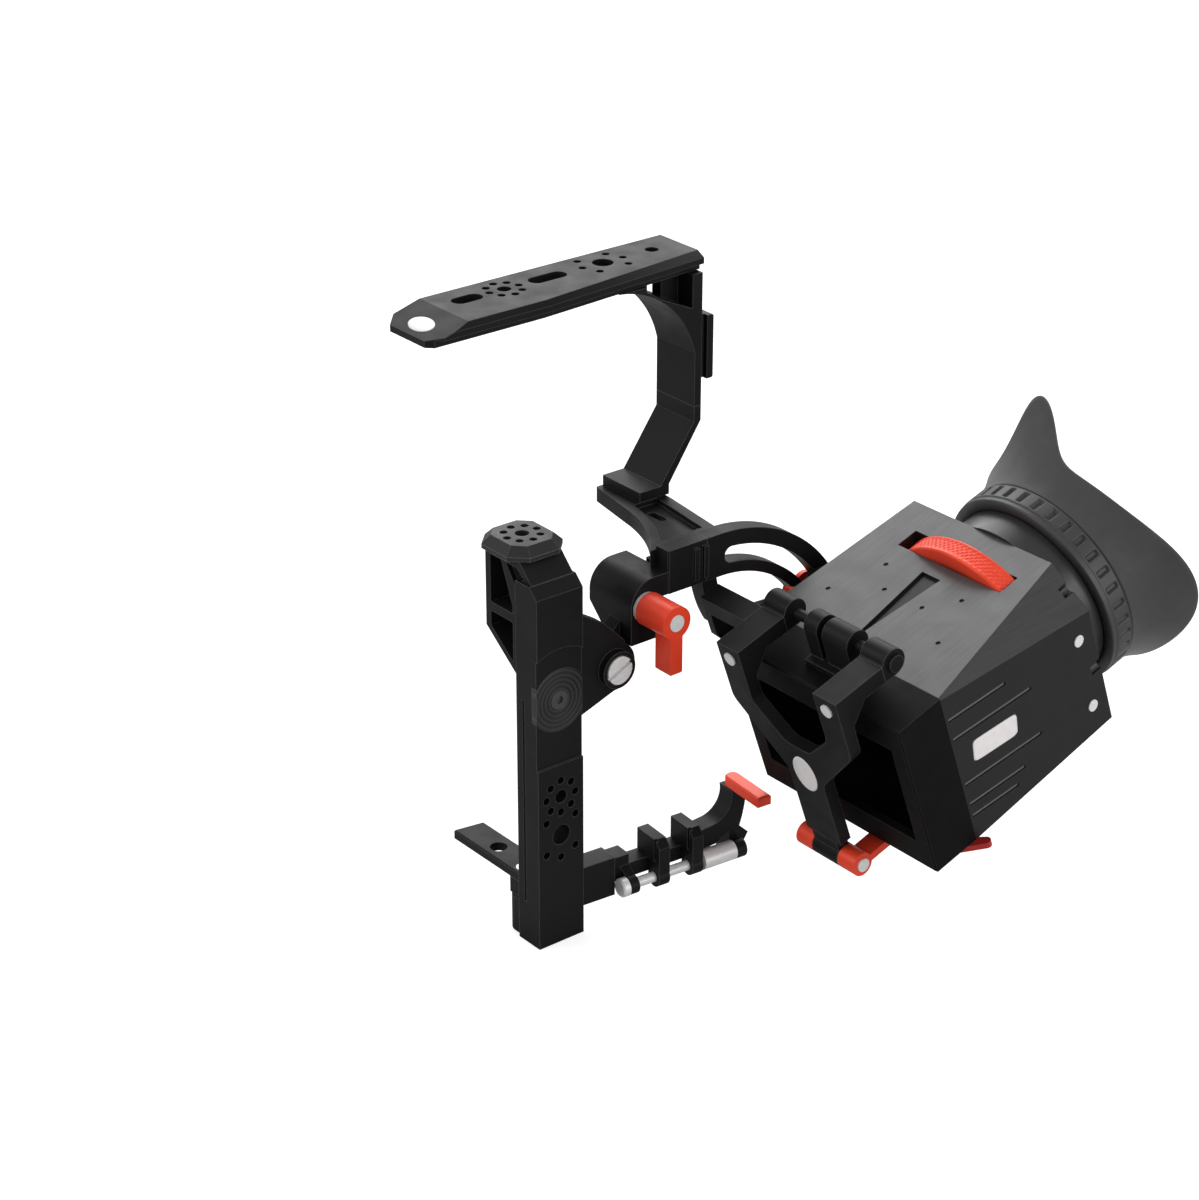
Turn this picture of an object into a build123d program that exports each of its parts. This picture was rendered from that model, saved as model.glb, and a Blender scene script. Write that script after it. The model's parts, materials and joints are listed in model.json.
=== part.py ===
from build123d import *
import math
import os

# Camera cage: a side post, a top rail, a clamp with a curved track, a lower side rail and a
# flip-up viewfinder loupe.  Millimetres, +Z up, the lens looks along -Y, the finder is on +X.
# The origin is the camera screw hole, on the face of the base plate that the camera stands on.

# --- threads, holes and clearances -----------------------------------------------------------
quarter_tap_radius = 2.6
quarter_clear_radius = 3.3
three_eighths_tap_radius = 3.95
pin_hole_radius = 1.5
pin_hole_depth = 5.0
quarter_ring_radius = 6.5
three_eighths_ring_radius = 9.3
running_gap = 0.05
moving_gap = 0.3
edge_break = 0.6
small_screw_radius = 1.5
small_head_radius = 2.6
small_head_height = 1.4
small_screw_length = 8.0
hex_radius = 1.6

# --- base plate and post ---------------------------------------------------------------------
plate_thickness = 3.5
plate_width = 12.0
plate_reach = 20.7
plate_skew = 2.0
camera_screw_inset = 5.7
post_depth = 12.3
post_width = 20.5
post_outer_x = 32.0
post_bottom_z = -27.0
post_top_z = 118.5
post_chamfer = 4.0
post_recess_depth = 0.8
post_recess_bottom_z = 47.0
post_groove = 1.2
three_eighths_z = 18.1
disc_z = 72.8
disc_radius = 12.3
disc_thickness = 2.8
disc_seat_depth = 2.4
disc_recess_radius = 20.5
disc_bolt_head_radius = 3.6
disc_bolt_head_height = 1.8
disc_bolt_length = 7.0
foot_depth = 7.7
foot_height = 15.6
foot_rise = 1.4
foot_corner = 5.0
foot_neck_inset = 2.4

post_inner_x = post_outer_x - post_depth
post_front_y = -camera_screw_inset
post_rear_y = post_front_y + post_width
post_mid_y = (post_front_y + post_rear_y) / 2
quarter_z = three_eighths_z + three_eighths_ring_radius + quarter_ring_radius
foot_inner_x = post_inner_x - foot_depth
foot_bottom_z = post_bottom_z + foot_rise
foot_top_z = foot_bottom_z + foot_height

# --- neck and cap on the post ----------------------------------------------------------------
neck_reach = 18.5
neck_wall = 2.8
neck_inset = 1.0
neck_height = 7.0
neck_foot_drop = 38.5
neck_elbow_drop = 24.5
neck_bar_drop = 14.5
neck_bar_height = 3.5
neck_pocket_depth = 2.0
cap_length = 26.5
cap_width = 25.0
cap_offset = 0.5
cap_rim = 1.6
cap_bevel_height = 3.2
cap_bevel_angle = 45.0
cap_corner = 6.0

neck_inner_x = post_inner_x - neck_reach
neck_top_z = post_top_z + neck_height
neck_front_y = post_front_y + neck_inset
neck_depth = post_width - 2 * neck_inset
neck_slope_x = post_outer_x - post_chamfer - neck_height
cap_mid_x = (neck_inner_x + neck_slope_x) / 2 - cap_offset
cap_top_z = neck_top_z + cap_rim + cap_bevel_height

# --- link, thumb screw and clamp -------------------------------------------------------------
link_thickness = 5.5
link_inset = 1.0
link_top_z = 103.0
link_bottom_z = 63.0
link_boss_radius = 9.5
thumb_y = 29.8
thumb_z = 77.6
thumb_head_radius = 5.4
thumb_head_height = 3.6
thumb_collar_radius = 7.2
thumb_collar_height = 3.2
thumb_shank_radius = 2.4
thumb_slot_width = 1.5
thumb_slot_depth = 1.6
thumb_slot_turn = 25.0
clamp_width = 24.0
clamp_front_y = 36.8
clamp_rear_y = 53.8
clamp_top_z = 108.5
clamp_nose_radius = 10.0
clamp_finger_length = 12.0
clamp_finger_bottom_z = 84.0
clamp_jaw_z = 99.8
clamp_ear_thickness = 6.0
clamp_ear_radius = 8.0
lever_axis_y = 43.3
lever_axis_z = 98.0
lever_hub_radius = 6.3
lever_hub_length = 15.5
lever_standoff = 2.0
lever_handle_length = 20.5
lever_handle_width = 5.5
lever_handle_thickness = 8.5
lever_stud_radius = 3.0
lever_stud_depth = 12.0
lever_cap_radius = 3.2
lever_cap_seat = 0.8
lever_cap_height = 1.1

clamp_inner_x = post_outer_x - clamp_width
link_outer_x = post_outer_x - link_inset
link_inner_x = link_outer_x - link_thickness
lever_base_x = post_outer_x + lever_standoff
lever_end_x = lever_base_x + lever_hub_length

# --- arm, curved track and strut -------------------------------------------------------------
arm_thickness = 7.0
arm_end_y = 72.0
arm_rib_width = 2.2
arm_rib_pitch = 4.4
arm_rib_count = 2
arm_rib_height = 1.2
track_centre_y = 78.8
track_centre_z = 51.0
track_outer_radius = 65.6
track_width = 17.0
track_slot_inset = 9.4
track_slot_width = 6.4
track_slot_start_angle = 5.0
track_slot_margin_angle = 5.5
track_end_angle = 97.0
strut_width = 7.0
strut_y = 79.0
strut_drop = 24.0
strut_lean = 6.5
strut_bow = 2.5

arm_inner_x = post_outer_x - arm_thickness
track_inner_radius = track_outer_radius - track_width
track_slot_radius = track_outer_radius - track_slot_inset
track_slot_end_angle = track_end_angle - track_slot_margin_angle
arm_top_z = track_centre_z + track_outer_radius
arm_bottom_z = track_centre_z + track_inner_radius

# --- cross member, leg and top rail ----------------------------------------------------------
cross_thickness = 6.0
cross_drop = 1.5
cross_front_y = 51.0
cross_waist_y = 68.0
cross_rear_y = 83.0
cross_back_y = 89.0
cross_bay_x = 6.0
cross_step_depth = 2.0
cross_step_inset = 4.0
cross_slot_length = 9.0
cross_slot_width = 3.4
cross_cheek_drop = 12.0
rail_mid_x = -21.0
rail_half = 15.2
rail_top_z = 206.0
rail_thickness = 7.0
rail_front_y = -3.8
rail_rear_y = 105.5
rail_nose = 16.2
rail_nose_drop = 4.5
rail_nose_chamfer = 5.0
rail_taper_y = 30.0
rail_taper = 5.3
rail_bevel_drop = 2.0
rail_bevel_front = 1.6
rail_bevel_rear = 3.7
rail_rebate_height = 2.7
rail_rebate_depth = 2.5
rail_hole_x = -25.5
rail_slot_width = 6.6
rail_front_slot_y = 9.0
rail_front_slot_length = 12.5
rail_ring_y = 25.2
rail_mid_slot_y = 44.5
rail_mid_slot_length = 16.0
rail_big_hole_y = 69.7
rail_rear_hole_y = 92.5
badge_length = 12.5
badge_width = 8.0
badge_thickness = 0.8
badge_seat = 0.4
badge_share = 0.62
riser_half = 11.0
riser_web = 5.0
riser_front_y = 65.0
riser_plate = 3.2
riser_setback = 1.5
riser_leg_bottom_z = 147.0
riser_arch_z = 168.0
riser_arch_y_share = 0.7
riser_arch_z_share = 0.62
riser_window_width = 6.5
riser_window_drop = 1.0
riser_frame = 1.5
riser_pocket_front_y = 77.7
riser_pocket_knee_y = 84.7
riser_pocket_front_drop = 1.8
riser_pocket_knee_drop = 6.2
riser_pocket_rear_drop = 13.0
shoe_half = 10.5
shoe_thickness = 6.0
shoe_height = 25.0
shoe_drop = 17.5
shoe_lip = 2.2
shoe_hole_spacing = 12.0
leg_thickness = 4.0
leg_straight = 6.0
leg_foot_length = 14.0

rail_bottom_z = rail_top_z - rail_thickness
shoe_top_z = rail_bottom_z - shoe_drop
riser_rear_y = rail_rear_y - riser_setback
riser_plate_y = riser_rear_y - riser_plate
cross_top_z = arm_top_z - cross_drop
riser_left_x = rail_mid_x - riser_half
riser_right_x = rail_mid_x + riser_half
rail_right_x = rail_mid_x + rail_half

# --- lower side rail, rod, clips and rear latch ----------------------------------------------
side_angle = 5.0
side_face_x = 31.0
side_gap = 0.4
side_block_length = 14.2
side_block_depth = 9.0
side_block_top_z = -0.5
side_block_bottom_z = -16.5
side_wing_length = 7.0
side_bar_depth = 7.5
side_bar_setback = 1.5
side_bar_top_z = -6.0
side_bar_bottom_z = -12.0
side_shoulder_z = -2.0
side_shoulder_end = 21.5
side_length = 51.0
rod_radius = 2.0
rod_z = -12.8
rod_out = 2.4
rod_cap_radius = 3.7
rod_cap_length = 3.0
rod_lug_start = 17.6
rod_lug_length = 4.0
rod_lug_radius = 3.6
rod_lug_root = 1.0
sleeve_gap = 0.4
sleeve_length = 14.6
sleeve_radius = 3.8
rod_tail = 3.0
clip_thickness = 4.8
clip_spacing = 15.2
clip_latch_gap = 1.0
clip_inner = 8.6
clip_top_z = 3.2
clip_boss_radius = 4.0
clip_web = 3.6
clip_bevel = 3.0
clip_groove = 1.2
latch_depth = 8.0
latch_top_z = 11.0
latch_reach = 19.5
latch_arm_width = 6.8
latch_heel = 4.6
latch_step = 1.0
latch_inner_bow = 1.7
latch_inner_rise = 5.0
latch_outer_bow = 1.2
latch_outer_rise = 3.0
latch_waist = 0.5
latch_waist_drop = 3.0
latch_heel_drop = 7.0
latch_lever_length = 20.0
latch_lever_width = 6.0
latch_lever_thickness = 4.0
latch_pin_radius = 1.6
latch_pin_length = 6.0

clip_rear_s = side_length - clip_latch_gap - clip_thickness
clip_front_s = clip_rear_s - clip_spacing
sleeve_start = side_length + sleeve_gap
sleeve_end = sleeve_start + sleeve_length
rod_end = sleeve_end + rod_tail
latch_arm_s = side_length + latch_reach

# --- finder: tilt, frame, carriage and knob ---------------------------------------------------
finder_tilt = 19.5
finder_mid_x = 90.5
display_gap = 7.0
frame_thickness = 5.0
bezel_front = 1.4
bezel_bottom = -35.6
bezel_height = 67.5
bezel_half = 45.5
bezel_depth = 20.5
bar_top = 46.8
bar_height = 6.6
bar_outer = 31.0
bar_inner = 19.5
bar_rear = 12.0
leg_knee = 21.0
leg_waist = -3.0
leg_lower_half = 9.0
leg_bottom = -32.5
leg_corner = 6.0
fork_knee = 24.0
fork_floor = 11.2
fork_floor_half = 6.0
bar_gusset = 7.3
frame_badge_length = 16.0
frame_badge_width = 12.0
frame_badge_w = -1.5
frame_screw_w = 41.5
hinge_v = 17.4
hinge_w = 45.2
hinge_barrel_radius = 5.2
hinge_pin_radius = 2.0
hinge_pin_head = 3.2
hinge_head_height = 1.5
leaf_left = -9.4
leaf_left_length = 6.6
leaf_right_length = 12.8
hinge_leaf_thickness = 2.2
hinge_leaf_v = 9.0
foot_knob_radius = 4.6
foot_knob_drop = 3.5
foot_axle_radius = 1.8
foot_sleeve_length = 13.0
foot_end_length = 8.5
foot_face_radius = 2.6
foot_face_height = 0.8
foot_tip_length = 14.0
foot_tip_thickness = 3.0
carriage_thickness = 3.2
carriage_start_angle = 57.0
carriage_end_angle = 75.0
carriage_lock_angle = 60.0
carriage_pin_angle = 72.0
carriage_pin_radius = 3.0
carriage_pin_head = 5.2
carriage_head_height = 2.0
lock_stud_radius = 2.1
lock_hub_radius = 5.0
lock_thickness = 4.0
lock_handle_length = 27.0
lock_handle_width = 5.0
lock_handle_angle = 21.0
bracket_thickness = 3.2
bracket_front = 3.0
bracket_high = 30.0
bracket_low = 14.0
bracket_tail_margin = 5.7
bracket_tail_half = 10.0

frame_rear = bezel_front - display_gap
frame_front = frame_rear - frame_thickness
bezel_top = bezel_bottom + bezel_height
bezel_rear = bezel_front + bezel_depth
optical_w = (bezel_bottom + bezel_top) / 2
foot_knob_v = (frame_front + frame_rear) / 2
foot_knob_w = leg_bottom - foot_knob_radius - foot_knob_drop
bar_bottom = bar_top - bar_height
bar_mid = (bar_outer + bar_inner) / 2
bar_width = bar_outer - bar_inner
carriage_x = post_outer_x + moving_gap
bracket_x = carriage_x + carriage_thickness
lock_x = bracket_x + bracket_thickness + moving_gap

# --- finder: loupe and eyepiece --------------------------------------------------------------
bezel_wall = 3.0
mask_half_u = 38.5
mask_half_w = 22.0
shell_length = 74.5
shell_wall = 2.6
shell_taper_left = 3.8
shell_taper_right = 2.5
shell_corner_u = 14.4
shell_corner_w = 16.0
shell_front_corner = 0.8
shell_corner_share = 0.4
groove_depth = 0.7
groove_width = 1.5
groove_slope = -8.8
dot_radius = 0.9
dot_depth = 0.6
dot_mid_u = -4.5
wedge_front_v = 26.0
wedge_rear_v = 68.0
wedge_half = 4.6
wedge_depth = 1.2
wheel_radius = 40.4
wheel_width = 8.6
wheel_front_v = 74.8
wheel_gap = 0.4
wheel_slot_half = 26.0
wheel_slot_depth = 4.0
wheel_tooth_count = 72
wheel_tooth_depth = 0.7
bulkhead_thickness = 2.4
barrel_radius = 29.5
barrel_wall = 2.4
barrel_front_v = 66.0
barrel_length = 47.0
barrel_clearance = 0.5
lens_ledge = 1.6
front_lens_edge = 4.0
front_lens_crown = 4.5
rear_lens_edge = 3.5
rear_lens_crown = 2.5
rear_lens_rim = 1.0
retainer_thickness = 3.0
retainer_opening = 23.5
eyepiece_radius = 35.5
eyepiece_length = 10.7
neck_radius = 34.2
eyepiece_lock_radius = 36.0
eyepiece_lock_thickness = 2.5
diopter_radius = 40.5
diopter_length = 10.0
diopter_rib_count = 36
diopter_rib_depth = 1.2
diopter_rib_margin = 1.4
diopter_collar_radius = 38.0
diopter_collar_length = 4.0
cup_gap = 0.2
cup_wall = 2.2
cup_length = 32.0
cup_flare = 19.5
horn_angle = 20.0
rim_low = 12.0
rim_lobe = 22.5
rim_lobe_place = 17.0
rim_dip = 13.5
rim_dip_place = 22.0
label_length = 22.5
label_height = 9.0
label_v = 41.2
label_w = -1.6
label_turn = -10.0
label_thickness = 0.9
label_seat = 0.4
side_screw_radius = 2.3
side_screw_seat = 0.5
side_screw_proud = 0.4
side_screw_length = 5.0
side_screw_shank = 1.2
side_screw_v = 88.6
side_screw_heights = (7.5, -23.6)
side_groove_start = 1.0
side_grooves = ((20.6, 29.0), (11.6, 40.0), (-10.0, 40.0), (-19.4, 29.0), (-25.0, 24.0))
top_dots = ((28.5, 42.7), (9.7, 53.4), (19.5, 63.9))
notch_radius = 2.2
notch_length = 5.0
notch_side_w = -9.0
release_pivot_u = 36.0
release_pivot_v = 12.0
release_length = 17.0
release_turn = 42.0
release_hub_radius = 3.4
release_tip_radius = 1.8
release_thickness = 2.4
release_pin_radius = 1.4
release_pin_length = 2.2

shell_rear = bezel_rear + shell_length
eyepiece_rear = shell_rear + eyepiece_length
diopter_front = eyepiece_rear + moving_gap
diopter_rear = diopter_front + diopter_length
neck_rear = diopter_rear - eyepiece_lock_thickness
bulkhead_front = wheel_front_v - wheel_gap - bulkhead_thickness
barrel_rear_v = barrel_front_v + barrel_length
barrel_bore = barrel_radius - barrel_wall

os.makedirs("parts", exist_ok=True)


def save(name, part):
    """Label a finished piece with its name and write it."""
    part.label = name
    export_step(part, f"parts/{name}.step")


def side_plane(x):
    """Upright plane across the object at x: sketch x runs along +Y, sketch y along +Z."""
    return Plane(origin=(x, 0, 0), x_dir=(0, 1, 0), z_dir=(1, 0, 0))


def front_plane(y):
    """Upright plane facing the front at y: sketch x runs along +X, sketch y along +Z."""
    return Plane(origin=(0, y, 0), x_dir=(1, 0, 0), z_dir=(0, -1, 0))


tilt = math.radians(finder_tilt)
optical_dir = Vector(0, math.cos(tilt), math.sin(tilt))
finder_up = Vector(0, -math.sin(tilt), math.cos(tilt))
finder_right = Vector(1, 0, 0)
finder_centre = Vector(finder_mid_x, track_centre_y, track_centre_z)


def finder_point(u, v, w):
    """A point of the tilted finder: u to +X, v along the optical axis, w upwards."""
    return finder_centre + finder_right * u + optical_dir * v + finder_up * w


def finder_across(v, w=0.0):
    """Plane across the optical axis at depth v: sketch x runs along u, sketch y along w."""
    return Plane(origin=finder_point(0, v, w), x_dir=finder_right, z_dir=-optical_dir)


def finder_side(u):
    """Plane along the optical axis at u: sketch x runs along v, sketch y along w."""
    return Plane(origin=finder_point(u, 0, 0), x_dir=optical_dir, z_dir=finder_right)


def finder_flat(w):
    """Plane square to the finder's upright at w: sketch x runs along u, sketch y along v."""
    return Plane(origin=finder_point(0, 0, w), x_dir=finder_right, z_dir=finder_up)


side_turn = math.radians(side_angle)
side_along = Vector(math.sin(side_turn), math.cos(side_turn), 0)
side_out = Vector(math.cos(side_turn), -math.sin(side_turn), 0)


def side_point(s, n, z):
    """A point of the side rail: s along it to the rear, n outwards, z upwards."""
    return Vector(side_face_x, post_rear_y + side_gap, z) + side_along * s + side_out * n


def side_face(n):
    """Upright plane along the side rail: sketch x runs along s, sketch y along +Z."""
    return Plane(origin=side_point(0, n, 0), x_dir=side_along, z_dir=side_out)


def side_section(s):
    """Upright plane across the side rail: sketch x runs outwards, sketch y along +Z."""
    return Plane(origin=side_point(s, 0, 0), x_dir=side_out, z_dir=-side_along)


def side_flat(z):
    """Level plane along the side rail: sketch x runs outwards, sketch y along s."""
    return Plane(origin=side_point(0, 0, z), x_dir=side_out, z_dir=(0, 0, 1))


def arc_point(radius, angle):
    """Y and Z on a circle about the track's centre, the angle counted from up to the rear."""
    turn = math.radians(angle)
    return (track_centre_y + radius * math.sin(turn), track_centre_z + radius * math.cos(turn))


# Middle lines of the track's slot and of the carriage, about the track's centre.
slot_line = ThreePointArc(
    arc_point(track_slot_radius, track_slot_start_angle),
    arc_point(track_slot_radius, (track_slot_start_angle + track_slot_end_angle) / 2),
    arc_point(track_slot_radius, track_slot_end_angle),
)
carriage_line = ThreePointArc(
    arc_point(track_slot_radius, carriage_start_angle),
    arc_point(track_slot_radius, (carriage_start_angle + carriage_end_angle) / 2),
    arc_point(track_slot_radius, carriage_end_angle),
)


def ring_places(radius, angles):
    """Points on a circle about the sketch's origin, at the angles given in degrees."""
    return [
        (radius * math.cos(math.radians(a)), radius * math.sin(math.radians(a))) for a in angles
    ]


def add_screw(plane, head_radius, head_height, shank_radius, shank_length):
    """Add a screw: the head rises from the plane and the shank goes into it."""
    with BuildSketch(plane) as head:
        Circle(head_radius)
    extrude(head.sketch, amount=head_height)
    with BuildSketch(plane) as shank:
        Circle(shank_radius)
    extrude(shank.sketch, amount=-shank_length)


def cut_screw_seat(plane, head_radius, head_depth, shank_radius, shank_length):
    """Cut the seat of a screw whose head lies below the plane."""
    with BuildSketch(plane) as seat:
        Circle(head_radius + running_gap)
    extrude(seat.sketch, amount=-head_depth, mode=Mode.SUBTRACT)
    with BuildSketch(plane) as bore:
        Circle(shank_radius + running_gap)
    extrude(bore.sketch, amount=-head_depth - shank_length, mode=Mode.SUBTRACT)


def cut_hex(plane, depth):
    """Cut a hexagonal socket into a screw head from the plane."""
    with BuildSketch(plane) as socket:
        RegularPolygon(hex_radius, 6)
    extrude(socket.sketch, amount=-depth, mode=Mode.SUBTRACT)


# =============================================================================================
# Base plate, foot and post
# =============================================================================================
foot_mid_x = (foot_inner_x + post_inner_x) / 2 + foot_neck_inset / 2
base_screw_planes = [
    Plane(origin=(foot_mid_x, post_front_y + offset, 0), x_dir=(1, 0, 0), z_dir=(0, 0, 1))
    for offset in (plate_width / 3, post_width - plate_width / 3)
]

with BuildPart() as base_plate:
    with BuildSketch(Plane.XY.offset(-plate_thickness)):
        Polygon(
            (-plate_reach, post_front_y),
            (post_inner_x, post_front_y),
            (post_inner_x, post_rear_y),
            (foot_inner_x, post_rear_y),
            (foot_inner_x, post_front_y + plate_width),
            (-plate_reach + plate_skew, post_front_y + plate_width),
        )
    extrude(amount=plate_thickness)
    fillet(base_plate.edges().filter_by(Axis.Z).group_by(Axis.X)[0], edge_break)
    chamfer(base_plate.faces().sort_by(Axis.Z)[-1].edges().group_by(Axis.Y)[0], edge_break)
    with BuildSketch(Plane.XY):
        Circle(quarter_clear_radius)
    extrude(amount=-plate_thickness, mode=Mode.SUBTRACT)
    for plane in base_screw_planes:
        cut_screw_seat(
            plane, small_head_radius, small_head_height, small_screw_radius, plate_thickness
        )
save("base_plate", base_plate.part)

with BuildPart() as base_screws:
    for plane in base_screw_planes:
        add_screw(
            plane.offset(-small_head_height),
            small_head_radius,
            small_head_height,
            small_screw_radius,
            small_screw_length,
        )
        cut_hex(plane, small_head_height / 2)
save("base_screws", base_screws.part)

with BuildPart() as base_foot:
    with BuildSketch(Plane.XY.offset(foot_bottom_z)):
        with Locations(((foot_inner_x + post_inner_x) / 2, post_mid_y)):
            Rectangle(foot_depth, post_width)
    extrude(amount=foot_height)
    fillet(base_foot.edges().filter_by(Axis.Z).group_by(Axis.X)[0], foot_corner)
    chamfer(base_foot.faces().sort_by(Axis.Z)[-1].edges().group_by(Axis.X)[0], foot_rise)
    with BuildSketch(Plane.XY.offset(foot_top_z)):
        with Locations((foot_mid_x, post_mid_y)):
            Rectangle(foot_depth - foot_neck_inset, post_width)
    extrude(amount=-plate_thickness - foot_top_z)
    for plane in base_screw_planes:
        with BuildSketch(plane.offset(-plate_thickness)) as tapped:
            Circle(small_screw_radius + running_gap)
        extrude(tapped.sketch, amount=-small_screw_length, mode=Mode.SUBTRACT)
save("base_foot", base_foot.part)

recess_edge_z = disc_z + math.sqrt(disc_recess_radius**2 - (post_width / 2) ** 2)
with BuildPart() as side_post:
    with BuildSketch(Plane.XY.offset(post_bottom_z)):
        with Locations(((post_inner_x + post_outer_x) / 2, post_mid_y)):
            Rectangle(post_depth, post_width)
    extrude(amount=post_top_z - post_bottom_z)
    post_top_edges = side_post.faces().sort_by(Axis.Z)[-1].edges().filter_by(Axis.Y)
    chamfer(post_top_edges.sort_by(Axis.X)[-1], post_chamfer)
    # A groove down the front, and the outer face set back between the holes and an arc.
    with BuildSketch(Plane.XY.offset(foot_top_z)):
        with Locations((post_inner_x + post_depth / 3, post_front_y)):
            Rectangle(post_groove, post_groove)
    extrude(amount=disc_z - foot_top_z, mode=Mode.SUBTRACT)
    with BuildSketch(side_plane(post_outer_x)):
        with BuildLine():
            Polyline(
                (post_front_y, recess_edge_z),
                (post_front_y, post_recess_bottom_z),
                (post_rear_y, post_recess_bottom_z),
                (post_rear_y, recess_edge_z),
            )
            ThreePointArc(
                (post_rear_y, recess_edge_z),
                (post_mid_y, disc_z + disc_recess_radius),
                (post_front_y, recess_edge_z),
            )
        make_face()
    extrude(amount=-post_recess_depth, mode=Mode.SUBTRACT)
    with BuildSketch(side_plane(post_outer_x - post_recess_depth)):
        with Locations((post_mid_y, disc_z)):
            Circle(disc_radius)
    extrude(amount=-disc_seat_depth, mode=Mode.SUBTRACT)
    with BuildSketch(side_plane(post_outer_x - post_recess_depth - disc_seat_depth)):
        with Locations((post_mid_y, disc_z)):
            Circle(small_screw_radius + running_gap)
    extrude(amount=-disc_bolt_length, mode=Mode.SUBTRACT)
    # Two threaded holes, each in a ring of pin holes that shares one hole with the other.
    with BuildSketch(side_plane(post_outer_x)):
        with Locations((post_mid_y, quarter_z)):
            Circle(quarter_tap_radius)
        with Locations((post_mid_y, three_eighths_z)):
            Circle(three_eighths_tap_radius)
    extrude(amount=-post_depth, mode=Mode.SUBTRACT)
    with BuildSketch(side_plane(post_outer_x)):
        with Locations((post_mid_y, quarter_z)):
            with Locations(ring_places(quarter_ring_radius, range(0, 360, 45))):
                Circle(pin_hole_radius)
        with Locations((post_mid_y, three_eighths_z)):
            with Locations(ring_places(three_eighths_ring_radius, (45, 135, 225, 270, 315))):
                Circle(pin_hole_radius)
    extrude(amount=-pin_hole_depth, mode=Mode.SUBTRACT)
save("side_post", side_post.part)

disc_face_x = post_outer_x - post_recess_depth - disc_seat_depth + disc_thickness
disc_bolt_face = Plane(
    origin=(disc_face_x, post_mid_y, disc_z), x_dir=(0, 1, 0), z_dir=(1, 0, 0)
)
with BuildPart() as rosette_disc:
    with BuildSketch(side_plane(disc_face_x)):
        with Locations((post_mid_y, disc_z)):
            Circle(disc_radius - running_gap)
            Rectangle(post_width, 2 * disc_radius, mode=Mode.INTERSECT)
    extrude(amount=-disc_thickness)
    cut_screw_seat(
        disc_bolt_face,
        disc_bolt_head_radius,
        disc_bolt_head_height,
        small_screw_radius,
        disc_thickness,
    )
save("rosette_disc", rosette_disc.part)

with BuildPart() as rosette_bolt:
    add_screw(
        disc_bolt_face.offset(-disc_bolt_head_height),
        disc_bolt_head_radius,
        disc_bolt_head_height,
        small_screw_radius,
        disc_bolt_length,
    )
    cut_hex(disc_bolt_face, disc_bolt_head_height / 2)
save("rosette_bolt", rosette_bolt.part)

# =============================================================================================
# Neck and cap
# =============================================================================================
neck_foot_z = post_top_z - neck_foot_drop
neck_elbow_z = post_top_z - neck_elbow_drop
neck_bar_z = post_top_z - neck_bar_drop
neck_strut_x = neck_inner_x + neck_reach / 2
neck_window_x = post_inner_x - neck_wall
neck_window_z = neck_top_z - neck_wall
window_left_x = neck_inner_x + neck_wall
slope_rise = (neck_elbow_z - neck_foot_z) / neck_reach
window_left_z = neck_elbow_z + neck_wall - slope_rise * neck_wall
window_right_z = neck_foot_z + neck_wall + slope_rise * neck_wall
with BuildPart() as neck_frame:
    with BuildSketch(front_plane(neck_front_y)):
        Polygon(
            (neck_inner_x, neck_top_z),
            (neck_inner_x, neck_elbow_z),
            (post_inner_x, neck_foot_z),
            (post_inner_x, post_top_z),
            (post_outer_x - post_chamfer, post_top_z),
            (neck_slope_x, neck_top_z),
        )
    extrude(amount=-neck_depth)
    with BuildSketch(front_plane(neck_front_y)):
        Polygon(
            (window_left_x, neck_window_z),
            (neck_strut_x, neck_window_z),
            (neck_window_x, neck_bar_z + neck_wall),
            (neck_window_x, neck_bar_z),
            (window_left_x, neck_bar_z),
        )
        Polygon(
            (window_left_x, neck_bar_z - neck_bar_height),
            (neck_window_x, neck_bar_z - neck_bar_height),
            (neck_window_x, window_right_z),
            (window_left_x, window_left_z),
        )
    extrude(amount=-neck_depth, mode=Mode.SUBTRACT)
    # Pockets beside the strut, front and rear.
    for pocket_y, pocket_cut in (
        (neck_front_y, -neck_pocket_depth),
        (neck_front_y + neck_depth, neck_pocket_depth),
    ):
        with BuildSketch(front_plane(pocket_y)):
            Polygon(
                (neck_strut_x + neck_wall, neck_window_z),
                (neck_slope_x - neck_wall / 2, neck_window_z),
                (neck_slope_x + neck_wall, post_top_z + neck_wall / 2),
                (post_inner_x - neck_wall / 2, post_top_z - neck_wall),
            )
        extrude(amount=pocket_cut, mode=Mode.SUBTRACT)
save("neck_frame", neck_frame.part)

with BuildPart() as post_cap:
    with BuildSketch(Plane.XY.offset(neck_top_z)) as cap_outline:
        with Locations((cap_mid_x, post_mid_y)):
            Rectangle(cap_length, cap_width)
        chamfer(cap_outline.vertices(), cap_corner)
    extrude(amount=cap_rim)
    extrude(post_cap.faces().sort_by(Axis.Z)[-1], amount=cap_bevel_height, taper=cap_bevel_angle)
    with BuildSketch(Plane.XY.offset(cap_top_z)):
        with Locations((cap_mid_x, post_mid_y)):
            Circle(quarter_tap_radius)
    extrude(amount=-cap_rim - cap_bevel_height, mode=Mode.SUBTRACT)
    with BuildSketch(Plane.XY.offset(cap_top_z)):
        with Locations((cap_mid_x, post_mid_y)):
            with Locations(ring_places(quarter_ring_radius, range(0, 360, 45))):
                Circle(pin_hole_radius)
    extrude(amount=-cap_bevel_height, mode=Mode.SUBTRACT)
save("post_cap", post_cap.part)

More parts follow.
